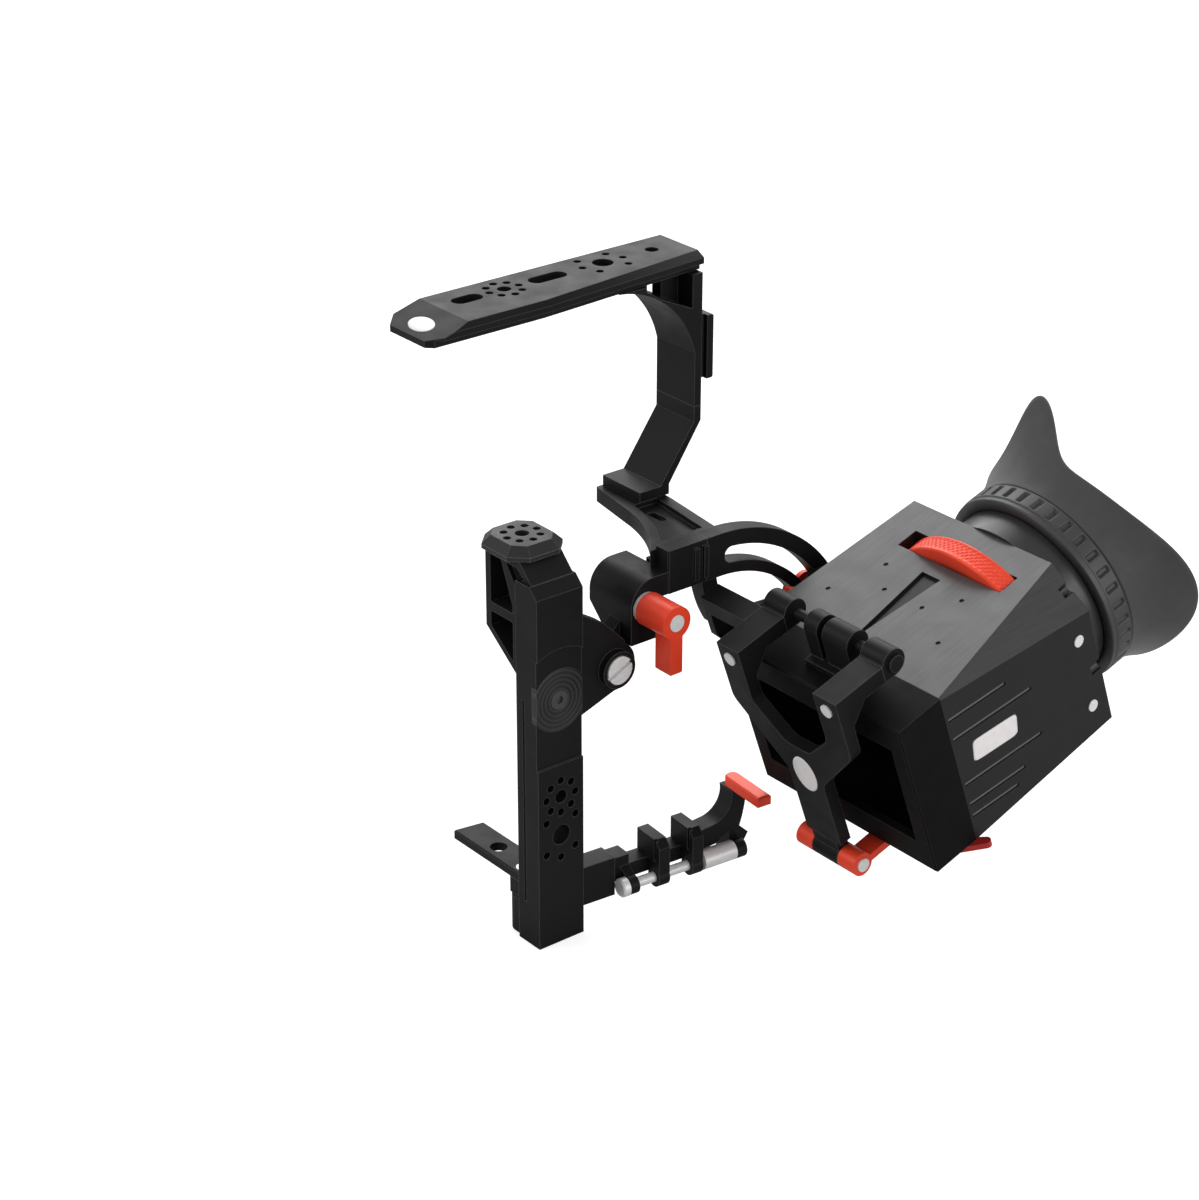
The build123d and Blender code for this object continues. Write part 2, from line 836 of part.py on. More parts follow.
# =============================================================================================
# Link, thumb screw and clamp
# =============================================================================================
with BuildPart() as link_web:
    with BuildSketch(side_plane(link_outer_x)):
        Polygon(
            (post_rear_y, link_bottom_z),
            (thumb_y, thumb_z - link_boss_radius),
            (thumb_y + link_boss_radius / 2, thumb_z),
            (thumb_y + link_boss_radius / 2, thumb_z + link_boss_radius),
            (thumb_y - link_boss_radius / 2, thumb_z + 2 * link_boss_radius),
            (post_rear_y, link_top_z),
        )
        with Locations((thumb_y, thumb_z)):
            Circle(link_boss_radius)
    extrude(amount=-link_thickness)
    with BuildSketch(side_plane(link_outer_x)):
        with Locations((thumb_y, thumb_z)):
            Circle(thumb_shank_radius + running_gap)
    extrude(amount=-link_thickness, mode=Mode.SUBTRACT)
    # Collar round the screw's head.
    with BuildSketch(side_plane(link_outer_x)):
        with Locations((thumb_y, thumb_z)):
            Circle(thumb_collar_radius)
            Circle(thumb_head_radius + moving_gap, mode=Mode.SUBTRACT)
    extrude(amount=thumb_collar_height)
save("link_web", link_web.part)

thumb_plane = Plane(
    origin=(link_outer_x + running_gap, thumb_y, thumb_z), x_dir=(0, 1, 0), z_dir=(1, 0, 0)
)
with BuildPart() as thumb_screw:
    add_screw(
        thumb_plane,
        thumb_head_radius,
        thumb_head_height,
        thumb_shank_radius,
        link_thickness + clamp_ear_thickness,
    )
    with BuildSketch(thumb_plane.offset(thumb_head_height)):
        Rectangle(3 * thumb_head_radius, thumb_slot_width, rotation=thumb_slot_turn)
    extrude(amount=-thumb_slot_depth, mode=Mode.SUBTRACT)
save("thumb_screw", thumb_screw.part)

nose_bulge = clamp_nose_radius * (1 - math.sin(math.pi / 4))
with BuildPart() as clamp_block:
    with BuildSketch(side_plane(post_outer_x)):
        with BuildLine():
            Line((clamp_rear_y, clamp_top_z), (clamp_front_y + clamp_nose_radius, clamp_top_z))
            ThreePointArc(
                (clamp_front_y + clamp_nose_radius, clamp_top_z),
                (clamp_front_y + nose_bulge, clamp_top_z - nose_bulge),
                (clamp_front_y, clamp_top_z - clamp_nose_radius),
            )
            Polyline(
                (clamp_front_y, clamp_top_z - clamp_nose_radius),
                (clamp_front_y, clamp_finger_bottom_z),
                (clamp_front_y + clamp_finger_length, clamp_finger_bottom_z),
                (clamp_front_y + clamp_finger_length, clamp_jaw_z),
                (clamp_rear_y, clamp_jaw_z),
                (clamp_rear_y, clamp_top_z),
            )
        make_face()
    extrude(amount=-clamp_width)
    # The finger's inner lower corner is cut off.
    with BuildSketch(front_plane(clamp_front_y)):
        Polygon(
            (clamp_inner_x, clamp_finger_bottom_z),
            (clamp_inner_x, clamp_finger_bottom_z + clamp_nose_radius),
            (clamp_inner_x + clamp_nose_radius, clamp_finger_bottom_z),
        )
    extrude(amount=-clamp_finger_length, mode=Mode.SUBTRACT)
    # Ear for the thumb screw, behind the link.
    with BuildSketch(side_plane(link_inner_x)):
        Polygon(
            (thumb_y - clamp_ear_radius, thumb_z),
            (thumb_y, thumb_z - clamp_ear_radius),
            (clamp_front_y + clamp_finger_length / 2, clamp_finger_bottom_z),
            (clamp_front_y, clamp_finger_bottom_z + clamp_ear_radius),
        )
        with Locations((thumb_y, thumb_z)):
            Circle(clamp_ear_radius)
    extrude(amount=-clamp_ear_thickness)
    with BuildSketch(side_plane(link_inner_x)):
        with Locations((thumb_y, thumb_z)):
            Circle(thumb_shank_radius + running_gap)
    extrude(amount=-clamp_ear_thickness, mode=Mode.SUBTRACT)
    with BuildSketch(side_plane(post_outer_x)):
        with Locations((lever_axis_y, lever_axis_z)):
            Circle(lever_stud_radius + running_gap)
    extrude(amount=-lever_stud_depth - moving_gap, mode=Mode.SUBTRACT)
    # The link lies in a seat in the finger's outer face.
    with BuildSketch(side_plane(post_outer_x)):
        with Locations((thumb_y, thumb_z)):
            Circle(link_boss_radius + running_gap)
    extrude(amount=-link_thickness - link_inset, mode=Mode.SUBTRACT)
save("clamp_block", clamp_block.part)

stud_plane = Plane(
    origin=(post_outer_x + running_gap, lever_axis_y, lever_axis_z),
    x_dir=(0, 1, 0),
    z_dir=(1, 0, 0),
)
with BuildPart() as clamp_stud:
    add_screw(
        stud_plane,
        lever_hub_radius - edge_break,
        lever_standoff - running_gap,
        lever_stud_radius,
        lever_stud_depth,
    )
save("clamp_stud", clamp_stud.part)

with BuildPart() as clamp_lever:
    with BuildSketch(side_plane(lever_end_x)):
        with Locations((lever_axis_y, lever_axis_z)):
            Circle(lever_hub_radius)
    extrude(amount=-lever_hub_length)
    with BuildSketch(side_plane(lever_end_x)):
        with Locations((lever_axis_y, lever_axis_z - lever_handle_length / 2)):
            Rectangle(lever_handle_width, lever_handle_length)
    extrude(amount=-lever_handle_thickness)
    chamfer(clamp_lever.faces().sort_by(Axis.Z)[0].edges(), edge_break)
    with BuildSketch(side_plane(lever_end_x)):
        with Locations((lever_axis_y, lever_axis_z)):
            Circle(lever_cap_radius)
    extrude(amount=-lever_cap_seat, mode=Mode.SUBTRACT)
save("clamp_lever", clamp_lever.part)

with BuildPart() as clamp_lever_cap:
    with BuildSketch(side_plane(lever_end_x - lever_cap_seat)):
        with Locations((lever_axis_y, lever_axis_z)):
            Circle(lever_cap_radius - running_gap)
    extrude(amount=lever_cap_height)
save("clamp_lever_cap", clamp_lever_cap.part)

# =============================================================================================
# Arm, curved track and strut
# =============================================================================================
with BuildPart() as arm_block:
    with BuildSketch(side_plane(post_outer_x)):
        with Locations(((clamp_rear_y + arm_end_y) / 2, (arm_bottom_z + arm_top_z) / 2)):
            Rectangle(arm_end_y - clamp_rear_y, arm_top_z - arm_bottom_z)
    extrude(amount=-arm_thickness)
    with BuildSketch(side_plane(post_outer_x)):
        for rib in range(arm_rib_count):
            rib_y = arm_end_y - arm_rib_width / 2 - rib * arm_rib_pitch
            with Locations((rib_y, (arm_bottom_z + arm_top_z) / 2)):
                Rectangle(arm_rib_width, arm_top_z - arm_bottom_z - 2 * arm_rib_width)
    extrude(amount=arm_rib_height)
    chamfer(arm_block.edges().filter_by(Axis.Z).group_by(Axis.Y)[0].sort_by(Axis.X)[-1], edge_break)
save("arm_block", arm_block.part)

with BuildPart() as curved_track:
    with BuildSketch(side_plane(post_outer_x)):
        with BuildLine():
            Polyline(
                arc_point(track_inner_radius, 0),
                (arm_end_y, arm_bottom_z),
                (arm_end_y, arm_top_z),
                arc_point(track_outer_radius, 0),
            )
            ThreePointArc(
                arc_point(track_outer_radius, 0),
                arc_point(track_outer_radius, track_end_angle / 2),
                arc_point(track_outer_radius, track_end_angle),
            )
            Line(
                arc_point(track_outer_radius, track_end_angle),
                arc_point(track_inner_radius, track_end_angle),
            )
            ThreePointArc(
                arc_point(track_inner_radius, track_end_angle),
                arc_point(track_inner_radius, track_end_angle / 2),
                arc_point(track_inner_radius, 0),
            )
        make_face()
        SlotArc(slot_line, track_slot_width, mode=Mode.SUBTRACT)
    extrude(amount=-arm_thickness)
save("curved_track", curved_track.part)

strut_end_y = strut_y + strut_lean
strut_end_z = arm_bottom_z - strut_drop
strut_top_z = cross_top_z - cross_thickness - cross_cheek_drop
strut_mid_z = (strut_top_z + strut_end_z) / 2
with BuildPart() as rear_strut:
    with BuildSketch(side_plane(arm_inner_x)):
        with BuildLine():
            Line((strut_y - strut_width / 2, strut_top_z), (strut_y + strut_width / 2, strut_top_z))
            ThreePointArc(
                (strut_y + strut_width / 2, strut_top_z),
                (strut_y + strut_bow + strut_width / 2, strut_mid_z),
                (strut_end_y + strut_width / 2, strut_end_z),
            )
            Line(
                (strut_end_y + strut_width / 2, strut_end_z),
                (strut_end_y - strut_width / 3, strut_end_z),
            )
            ThreePointArc(
                (strut_end_y - strut_width / 3, strut_end_z),
                (strut_y + strut_bow - strut_width / 2, strut_mid_z),
                (strut_y - strut_width / 2, strut_top_z),
            )
        make_face()
    extrude(amount=-arm_thickness)
save("rear_strut", rear_strut.part)

# =============================================================================================
# Cross member, leg, riser and top rail
# =============================================================================================
with BuildPart() as rear_cross_member:
    with BuildSketch(Plane.XY.offset(cross_top_z)):
        with BuildLine():
            Polyline(
                (arm_inner_x, cross_front_y),
                (arm_inner_x, cross_rear_y),
                (riser_right_x + cross_step_inset, cross_back_y - cross_step_depth),
                (riser_left_x, cross_back_y),
                (riser_left_x, cross_waist_y + cross_step_inset),
                (riser_right_x, cross_waist_y),
            )
            ThreePointArc(
                (riser_right_x, cross_waist_y),
                (cross_bay_x, (cross_front_y + cross_waist_y) / 2 + cross_step_inset),
                (arm_inner_x, cross_front_y),
            )
        make_face()
    extrude(amount=-cross_thickness)
    # The top is stepped down inside its rear and outer edges.
    step_x = arm_inner_x - cross_step_inset
    with BuildSketch(Plane.XY.offset(cross_top_z)):
        with BuildLine():
            Polyline(
                (step_x, cross_front_y + 2 * cross_step_inset),
                (step_x, cross_rear_y - cross_step_inset),
                (riser_right_x, cross_rear_y),
                (riser_right_x, cross_waist_y + cross_step_inset),
            )
            ThreePointArc(
                (riser_right_x, cross_waist_y + cross_step_inset),
                (cross_bay_x, (cross_front_y + cross_waist_y) / 2 + 2 * cross_step_inset),
                (step_x, cross_front_y + 2 * cross_step_inset),
            )
        make_face()
    extrude(amount=-cross_step_depth, mode=Mode.SUBTRACT)
    with BuildSketch(Plane.XY.offset(cross_top_z)):
        with Locations((0, cross_rear_y - 2 * cross_step_inset)):
            SlotOverall(cross_slot_length, cross_slot_width)
    extrude(amount=-cross_thickness, mode=Mode.SUBTRACT)
    # Cheek that comes down inside the arm and carries the strut.
    with BuildSketch(side_plane(arm_inner_x)):
        Polygon(
            (cross_front_y + cross_step_inset, cross_top_z - cross_thickness),
            (cross_rear_y, cross_top_z - cross_thickness),
            (cross_rear_y, strut_top_z),
            (strut_y - strut_width / 2, strut_top_z),
            (cross_front_y + cross_step_inset, arm_bottom_z + cross_thickness),
        )
    extrude(amount=-arm_thickness)
save("rear_cross_member", rear_cross_member.part)

with BuildPart() as riser_leg:
    with BuildSketch(side_plane(riser_right_x)):
        Polygon(
            (riser_plate_y, riser_leg_bottom_z),
            (riser_rear_y, riser_leg_bottom_z),
            (riser_rear_y, riser_leg_bottom_z - leg_straight),
            (cross_back_y, cross_top_z + leg_thickness),
            (cross_back_y, cross_top_z),
            (cross_back_y - leg_foot_length, cross_top_z),
            (cross_back_y - leg_foot_length, cross_top_z + leg_thickness),
            (cross_back_y - leg_thickness, cross_top_z + leg_thickness),
            (riser_plate_y, riser_leg_bottom_z - leg_straight),
        )
    extrude(amount=-2 * riser_half)
save("riser_leg", riser_leg.part)

arch_y = riser_front_y + riser_arch_y_share * (riser_plate_y - riser_front_y)
arch_z = riser_arch_z + riser_arch_z_share * (rail_bottom_z - riser_arch_z)
riser_pocket_rear_y = riser_plate_y - riser_frame
knee_floor_z = rail_bottom_z - riser_pocket_knee_drop
rear_floor_z = rail_bottom_z - riser_pocket_rear_drop
window_share = riser_window_width / (riser_pocket_rear_y - riser_pocket_knee_y)
with BuildPart() as handle_riser:
    with BuildSketch(side_plane(riser_right_x)):
        with BuildLine():
            Polyline(
                (riser_front_y, rail_bottom_z),
                (riser_rear_y, rail_bottom_z),
                (riser_rear_y, riser_leg_bottom_z),
                (riser_plate_y, riser_leg_bottom_z),
                (riser_plate_y, riser_arch_z),
            )
            ThreePointArc(
                (riser_plate_y, riser_arch_z), (arch_y, arch_z), (riser_front_y, rail_bottom_z)
            )
        make_face()
    extrude(amount=-2 * riser_half)
    # Pockets on both sides of a web, and a window through the web.
    for pocket_x, pocket_way in ((riser_right_x, -1), (riser_left_x, 1)):
        with BuildSketch(side_plane(pocket_x)):
            Polygon(
                (riser_pocket_front_y, rail_bottom_z),
                (riser_pocket_rear_y, rail_bottom_z),
                (riser_pocket_rear_y, rear_floor_z),
                (riser_pocket_knee_y, knee_floor_z),
                (riser_pocket_front_y, rail_bottom_z - riser_pocket_front_drop),
            )
        extrude(amount=pocket_way * (riser_half - riser_web / 2), mode=Mode.SUBTRACT)
    with BuildSketch(side_plane(riser_right_x)):
        Polygon(
            (riser_pocket_knee_y, rail_bottom_z - riser_window_drop),
            (riser_pocket_knee_y + riser_window_width, rail_bottom_z - riser_window_drop),
            (
                riser_pocket_knee_y + riser_window_width,
                knee_floor_z + window_share * (rear_floor_z - knee_floor_z),
            ),
            (riser_pocket_knee_y, knee_floor_z),
        )
    extrude(amount=-2 * riser_half, mode=Mode.SUBTRACT)
save("handle_riser", handle_riser.part)

with BuildPart() as shoe_rail:
    with BuildSketch(Plane.XY.offset(shoe_top_z - shoe_height)):
        with Locations((rail_mid_x, riser_rear_y)):
            Rectangle(
                2 * (shoe_half - shoe_lip), shoe_thickness, align=(Align.CENTER, Align.MIN)
            )
        with Locations((rail_mid_x, riser_rear_y + shoe_thickness)):
            Rectangle(2 * shoe_half, shoe_thickness / 2, align=(Align.CENTER, Align.MAX))
    extrude(amount=shoe_height)
    chamfer(shoe_rail.faces().sort_by(Axis.Y)[-1].edges().filter_by(Axis.X), edge_break)
    with BuildSketch(front_plane(riser_rear_y)):
        with Locations((rail_mid_x, shoe_top_z - shoe_height / 2)):
            with GridLocations(0, shoe_hole_spacing, 1, 2):
                Circle(small_screw_radius)
    extrude(amount=-shoe_thickness, mode=Mode.SUBTRACT)
save("shoe_rail", shoe_rail.part)

nose_front_y = rail_front_y - rail_nose
nose_slope = math.atan2(rail_nose_drop, rail_nose)
badge_plane = Plane(
    origin=(
        rail_mid_x,
        rail_front_y - rail_nose * badge_share,
        rail_top_z - rail_nose_drop * badge_share,
    ),
    x_dir=(1, 0, 0),
    z_dir=(0, -math.sin(nose_slope), math.cos(nose_slope)),
)
with BuildPart() as handle_rail:
    with BuildSketch(side_plane(rail_right_x)):
        Polygon(
            (nose_front_y, rail_bottom_z),
            (nose_front_y, rail_top_z - rail_nose_drop),
            (rail_front_y, rail_top_z),
            (rail_rear_y, rail_top_z),
            (rail_rear_y, rail_bottom_z),
        )
    extrude(amount=-2 * rail_half)
    chamfer(handle_rail.edges().filter_by(Axis.Z).group_by(Axis.Y)[0], rail_nose_chamfer)
    # The outer side draws in towards the rear, with a bevel over it and a rebate under it.
    for side_y, side_x, bevel_width in (
        (nose_front_y, rail_right_x, rail_bevel_front),
        (rail_taper_y, rail_right_x, rail_bevel_front),
        (rail_rear_y, rail_right_x - rail_taper, rail_bevel_rear),
    ):
        with BuildSketch(front_plane(side_y)):
            Polygon(
                (side_x - rail_rebate_depth, rail_bottom_z),
                (side_x - rail_rebate_depth, rail_bottom_z + rail_rebate_height),
                (side_x, rail_bottom_z + rail_rebate_height),
                (side_x, rail_top_z - rail_bevel_drop),
                (side_x - bevel_width, rail_top_z),
                (rail_right_x + rail_rebate_depth, rail_top_z),
                (rail_right_x + rail_rebate_depth, rail_bottom_z),
            )
    loft(ruled=True, mode=Mode.SUBTRACT)
    with BuildSketch(Plane.XY.offset(rail_top_z)):
        with Locations((rail_hole_x, rail_front_slot_y)):
            SlotOverall(rail_front_slot_length, rail_slot_width, rotation=90)
        with Locations((rail_hole_x, rail_mid_slot_y)):
            SlotOverall(rail_mid_slot_length, rail_slot_width, rotation=90)
        with Locations((rail_hole_x, rail_ring_y), (rail_hole_x, rail_rear_hole_y)):
            Circle(quarter_tap_radius)
        with Locations((rail_hole_x, rail_big_hole_y)):
            Circle(three_eighths_tap_radius)
    extrude(amount=-rail_thickness, mode=Mode.SUBTRACT)
    with BuildSketch(Plane.XY.offset(rail_top_z)):
        with Locations((rail_hole_x, rail_ring_y)):
            with Locations(ring_places(quarter_ring_radius, range(0, 360, 45))):
                Circle(pin_hole_radius)
        with Locations((rail_hole_x, rail_big_hole_y)):
            with Locations(ring_places(three_eighths_ring_radius, (45, 90, 135, 225, 270, 315))):
                Circle(pin_hole_radius)
    extrude(amount=-pin_hole_depth, mode=Mode.SUBTRACT)
    with BuildSketch(badge_plane):
        Ellipse(badge_length / 2, badge_width / 2)
    extrude(amount=-badge_seat, mode=Mode.SUBTRACT)
save("handle_rail", handle_rail.part)

with BuildPart() as rail_badge:
    with BuildSketch(badge_plane.offset(-badge_seat)):
        Ellipse(badge_length / 2 - running_gap, badge_width / 2 - running_gap)
    extrude(amount=badge_thickness)
save("rail_badge", rail_badge.part)

# =============================================================================================
# Lower side rail, rod, clips and rear latch
# =============================================================================================
bar_out = -side_bar_setback
with BuildPart() as side_rail:
    with BuildSketch(side_flat(side_block_bottom_z)):
        Rectangle(side_block_depth, side_block_length, align=(Align.MAX, Align.MIN))
    extrude(amount=side_block_top_z - side_block_bottom_z)
    with BuildSketch(side_flat(side_bar_bottom_z)):
        with Locations((bar_out, 0)):
            Rectangle(side_bar_depth, side_length, align=(Align.MAX, Align.MIN))
    extrude(amount=side_bar_top_z - side_bar_bottom_z)
    with BuildSketch(side_flat(side_bar_bottom_z)):
        with Locations((bar_out, 0)):
            Rectangle(side_bar_depth, side_shoulder_end, align=(Align.MAX, Align.MIN))
    extrude(amount=side_shoulder_z - side_bar_bottom_z)
    # Wing that bears on the rear faces of the base plate and the post.
    with BuildSketch(Plane.XY.offset(-plate_thickness)):
        Polygon(
            (foot_inner_x, post_rear_y),
            (side_face_x - side_block_depth / 2, post_rear_y),
            (side_face_x - side_block_depth / 2, post_rear_y + side_wing_length),
            (foot_inner_x + side_wing_length / 2, post_rear_y + side_wing_length),
        )
    extrude(amount=plate_thickness + side_block_top_z)
    # Lug for the rod.
    with BuildSketch(side_section(rod_lug_start)):
        with Locations((rod_out, rod_z)):
            Circle(rod_lug_radius)
        Polygon(
            (bar_out - rod_lug_root, rod_z),
            (rod_out, rod_z),
            (rod_out, rod_z + rod_lug_radius),
            (bar_out - rod_lug_root, rod_z + 2 * rod_lug_radius),
        )
    extrude(amount=-rod_lug_length)
    with BuildSketch(side_section(rod_lug_start)):
        with Locations((rod_out, rod_z)):
            Circle(rod_radius + running_gap)
    extrude(amount=-rod_lug_length, mode=Mode.SUBTRACT)
save("side_rail", side_rail.part)

with BuildPart() as rail_rod:
    with BuildSketch(side_section(rod_lug_start)):
        with Locations((rod_out, rod_z)):
            Circle(rod_radius)
    extrude(amount=-(rod_end - rod_lug_start))
save("rail_rod", rail_rod.part)

with BuildPart() as rod_cap:
    with BuildSketch(side_section(rod_lug_start)):
        with Locations((rod_out, rod_z)):
            Circle(rod_cap_radius)
    extrude(amount=rod_cap_length)
    chamfer(rod_cap.edges().group_by(Axis.Y)[0], edge_break)
save("rod_cap", rod_cap.part)

with BuildPart() as rod_sleeve:
    with BuildSketch(side_section(sleeve_start)):
        with Locations((rod_out, rod_z)):
            Circle(sleeve_radius)
            Circle(rod_radius + running_gap, mode=Mode.SUBTRACT)
    extrude(amount=-(sleeve_end - sleeve_start))
save("rod_sleeve", rod_sleeve.part)

saddle_z = side_bar_top_z + moving_gap
saddle_out = bar_out + moving_gap
clip_out = rod_out + clip_web
for clip_name, clip_s in (("clip_front", clip_front_s), ("clip_rear", clip_rear_s)):
    with BuildPart() as clip:
        with BuildSketch(side_section(clip_s)):
            with Locations((rod_out, rod_z)):
                Circle(clip_boss_radius)
            Polygon(
                (saddle_out, rod_z),
                (saddle_out, saddle_z),
                (-clip_inner, saddle_z),
                (-clip_inner, clip_top_z),
                (clip_out - clip_bevel, clip_top_z),
                (clip_out, clip_top_z - clip_bevel),
                (clip_out, rod_z),
            )
            with Locations((saddle_out, saddle_z)):
                Rectangle(
                    clip_inner,
                    clip_inner + clip_boss_radius * 2,
                    align=(Align.MAX, Align.MAX),
                    mode=Mode.SUBTRACT,
                )
            with Locations((rod_out, rod_z)):
                Circle(rod_radius + running_gap, mode=Mode.SUBTRACT)
        extrude(amount=-clip_thickness)
        with BuildSketch(side_section(clip_s)):
            with Locations((clip_out - clip_bevel, clip_top_z)):
                Rectangle(clip_groove, clip_top_z - saddle_z, align=(Align.CENTER, Align.MAX))
        extrude(amount=-clip_groove, mode=Mode.SUBTRACT)
    save(clip_name, clip.part)

latch_inner_s = latch_arm_s - latch_arm_width / 2
latch_outer_s = latch_arm_s + latch_arm_width / 2
latch_bottom_z = rod_z - sleeve_radius
latch_pivot = side_point(latch_arm_s, -latch_depth / 2, latch_top_z)
with BuildPart() as rear_latch:
    with BuildSketch(side_face(0)):
        with BuildLine():
            Polyline(
                (side_length, side_bar_bottom_z),
                (side_length, side_shoulder_z),
                (side_length + latch_depth, side_shoulder_z + latch_step),
            )
            ThreePointArc(
                (side_length + latch_depth, side_shoulder_z + latch_step),
                (latch_inner_s - latch_inner_bow, side_shoulder_z + latch_inner_rise),
                (latch_inner_s, latch_top_z),
            )
            Line((latch_inner_s, latch_top_z), (latch_outer_s, latch_top_z))
            ThreePointArc(
                (latch_outer_s, latch_top_z),
                (latch_outer_s - latch_outer_bow, side_shoulder_z + latch_outer_rise),
                (latch_arm_s + latch_waist, side_shoulder_z - latch_waist_drop),
            )
            Polyline(
                (latch_arm_s + latch_waist, side_shoulder_z - latch_waist_drop),
                (latch_arm_s + latch_heel, side_shoulder_z - latch_heel_drop),
                (latch_arm_s, latch_bottom_z),
                (sleeve_end, latch_bottom_z),
                (sleeve_end, side_bar_top_z),
                (side_length + latch_heel, side_bar_bottom_z),
                (side_length, side_bar_bottom_z),
            )
        make_face()
    extrude(amount=-latch_depth)
    # The jaw reaches outwards round the end of the rod.
    with BuildSketch(side_section(sleeve_end)):
        with Locations((rod_out, rod_z)):
            Circle(sleeve_radius)
    extrude(amount=-(latch_arm_s - sleeve_end))
    with BuildSketch(side_section(side_length)):
        with Locations((rod_out, rod_z)):
            Circle(sleeve_radius + moving_gap)
    extrude(amount=-(sleeve_end - side_length), mode=Mode.SUBTRACT)
    with BuildSketch(side_section(sleeve_end)):
        with Locations((rod_out, rod_z)):
            Circle(rod_radius + running_gap)
    extrude(amount=-(rod_end - sleeve_end), mode=Mode.SUBTRACT)
    with BuildSketch(Plane(origin=latch_pivot)):
        Circle(latch_pin_radius + running_gap)
    extrude(amount=-latch_pin_length - moving_gap, mode=Mode.SUBTRACT)
save("rear_latch", rear_latch.part)

latch_lever_plane = Plane(
    origin=latch_pivot + Vector(0, 0, running_gap), x_dir=side_out, z_dir=(0, 0, 1)
)
with BuildPart() as latch_lever:
    with BuildSketch(latch_lever_plane):
        Circle(latch_lever_width / 2)
        with Locations((latch_lever_length / 2, 0)):
            Rectangle(latch_lever_length, latch_lever_width)
    extrude(amount=latch_lever_thickness)
    chamfer(latch_lever.faces().sort_by(Axis.Z)[-1].edges(), edge_break)
    with BuildSketch(latch_lever_plane):
        Circle(latch_pin_radius)
    extrude(amount=-latch_pin_length)
save("latch_lever", latch_lever.part)

# =============================================================================================
# Finder carriage, bracket and lock
# =============================================================================================
lock_axis = arc_point(track_slot_radius, carriage_lock_angle)
pin_axis = arc_point(track_slot_radius, carriage_pin_angle)
carriage_width = track_outer_radius - track_inner_radius - 2 * edge_break
with BuildPart() as finder_carriage:
    with BuildSketch(side_plane(carriage_x)):
        SlotArc(carriage_line, carriage_width)
        with Locations(pin_axis):
            Circle(carriage_pin_radius + running_gap, mode=Mode.SUBTRACT)
        with Locations(lock_axis):
            Circle(lock_stud_radius + running_gap, mode=Mode.SUBTRACT)
    extrude(amount=carriage_thickness)
save("finder_carriage", finder_carriage.part)

pin_grip = arm_thickness + 2 * moving_gap + carriage_thickness
with BuildPart() as carriage_pin:
    add_screw(
        Plane(
            origin=(arm_inner_x - moving_gap, pin_axis[0], pin_axis[1]),
            x_dir=(0, 1, 0),
            z_dir=(-1, 0, 0),
        ),
        carriage_pin_head,
        carriage_head_height,
        carriage_pin_radius,
        pin_grip,
    )
save("carriage_pin", carriage_pin.part)

with BuildPart() as track_lock:
    add_screw(
        Plane(
            origin=(arm_inner_x - moving_gap, lock_axis[0], lock_axis[1]),
            x_dir=(0, 1, 0),
            z_dir=(-1, 0, 0),
        ),
        carriage_pin_head,
        carriage_head_height,
        lock_stud_radius,
        pin_grip + bracket_thickness + moving_gap,
    )
    lock_plane = Plane(
        origin=(lock_x, lock_axis[0], lock_axis[1]), x_dir=(0, 1, 0), z_dir=(1, 0, 0)
    )
    with BuildSketch(lock_plane):
        Circle(lock_hub_radius)
        with Locations(Location((0, 0), 180 - lock_handle_angle)):
            Rectangle(lock_handle_length, lock_handle_width, align=(Align.MIN, Align.CENTER))
    extrude(amount=lock_thickness)
save("track_lock", track_lock.part)

# The bracket runs from the carriage along the loupe's inner side to the frame's inner bar.
bracket_u = bracket_x - finder_mid_x
lock_finder_angle = math.radians(carriage_lock_angle + finder_tilt)
lock_v = track_slot_radius * math.sin(lock_finder_angle)
lock_w = track_slot_radius * math.cos(lock_finder_angle)
bracket_tail = lock_v + bracket_tail_margin
with BuildPart() as finder_bracket:
    with BuildSketch(finder_side(bracket_u)):
        Polygon(
            (bracket_front, bar_top),
            (bracket_front, bracket_high),
            (bar_rear, bracket_low),
            (lock_v - bracket_tail_half, lock_w - bracket_tail_half),
            (bracket_tail, -bracket_tail_half),
            (bracket_tail, lock_w + bracket_tail_half / 2),
            (lock_v - bracket_tail_half, lock_w + bracket_tail_half),
            (bar_rear + bracket_tail_half, bracket_high),
            (bar_rear, bar_bottom),
            (bar_rear, bar_top),
        )
        with Locations((lock_v, lock_w)):
            Circle(lock_stud_radius + running_gap, mode=Mode.SUBTRACT)
    extrude(amount=bracket_thickness)
    with BuildSketch(finder_side(bracket_u)):
        with Locations(((bracket_front + bar_rear) / 2, (bar_top + bar_bottom) / 2)):
            Rectangle(bar_rear - bracket_front, bar_height)
    extrude(amount=-bar_outer - bracket_u)
save("finder_bracket", finder_bracket.part)

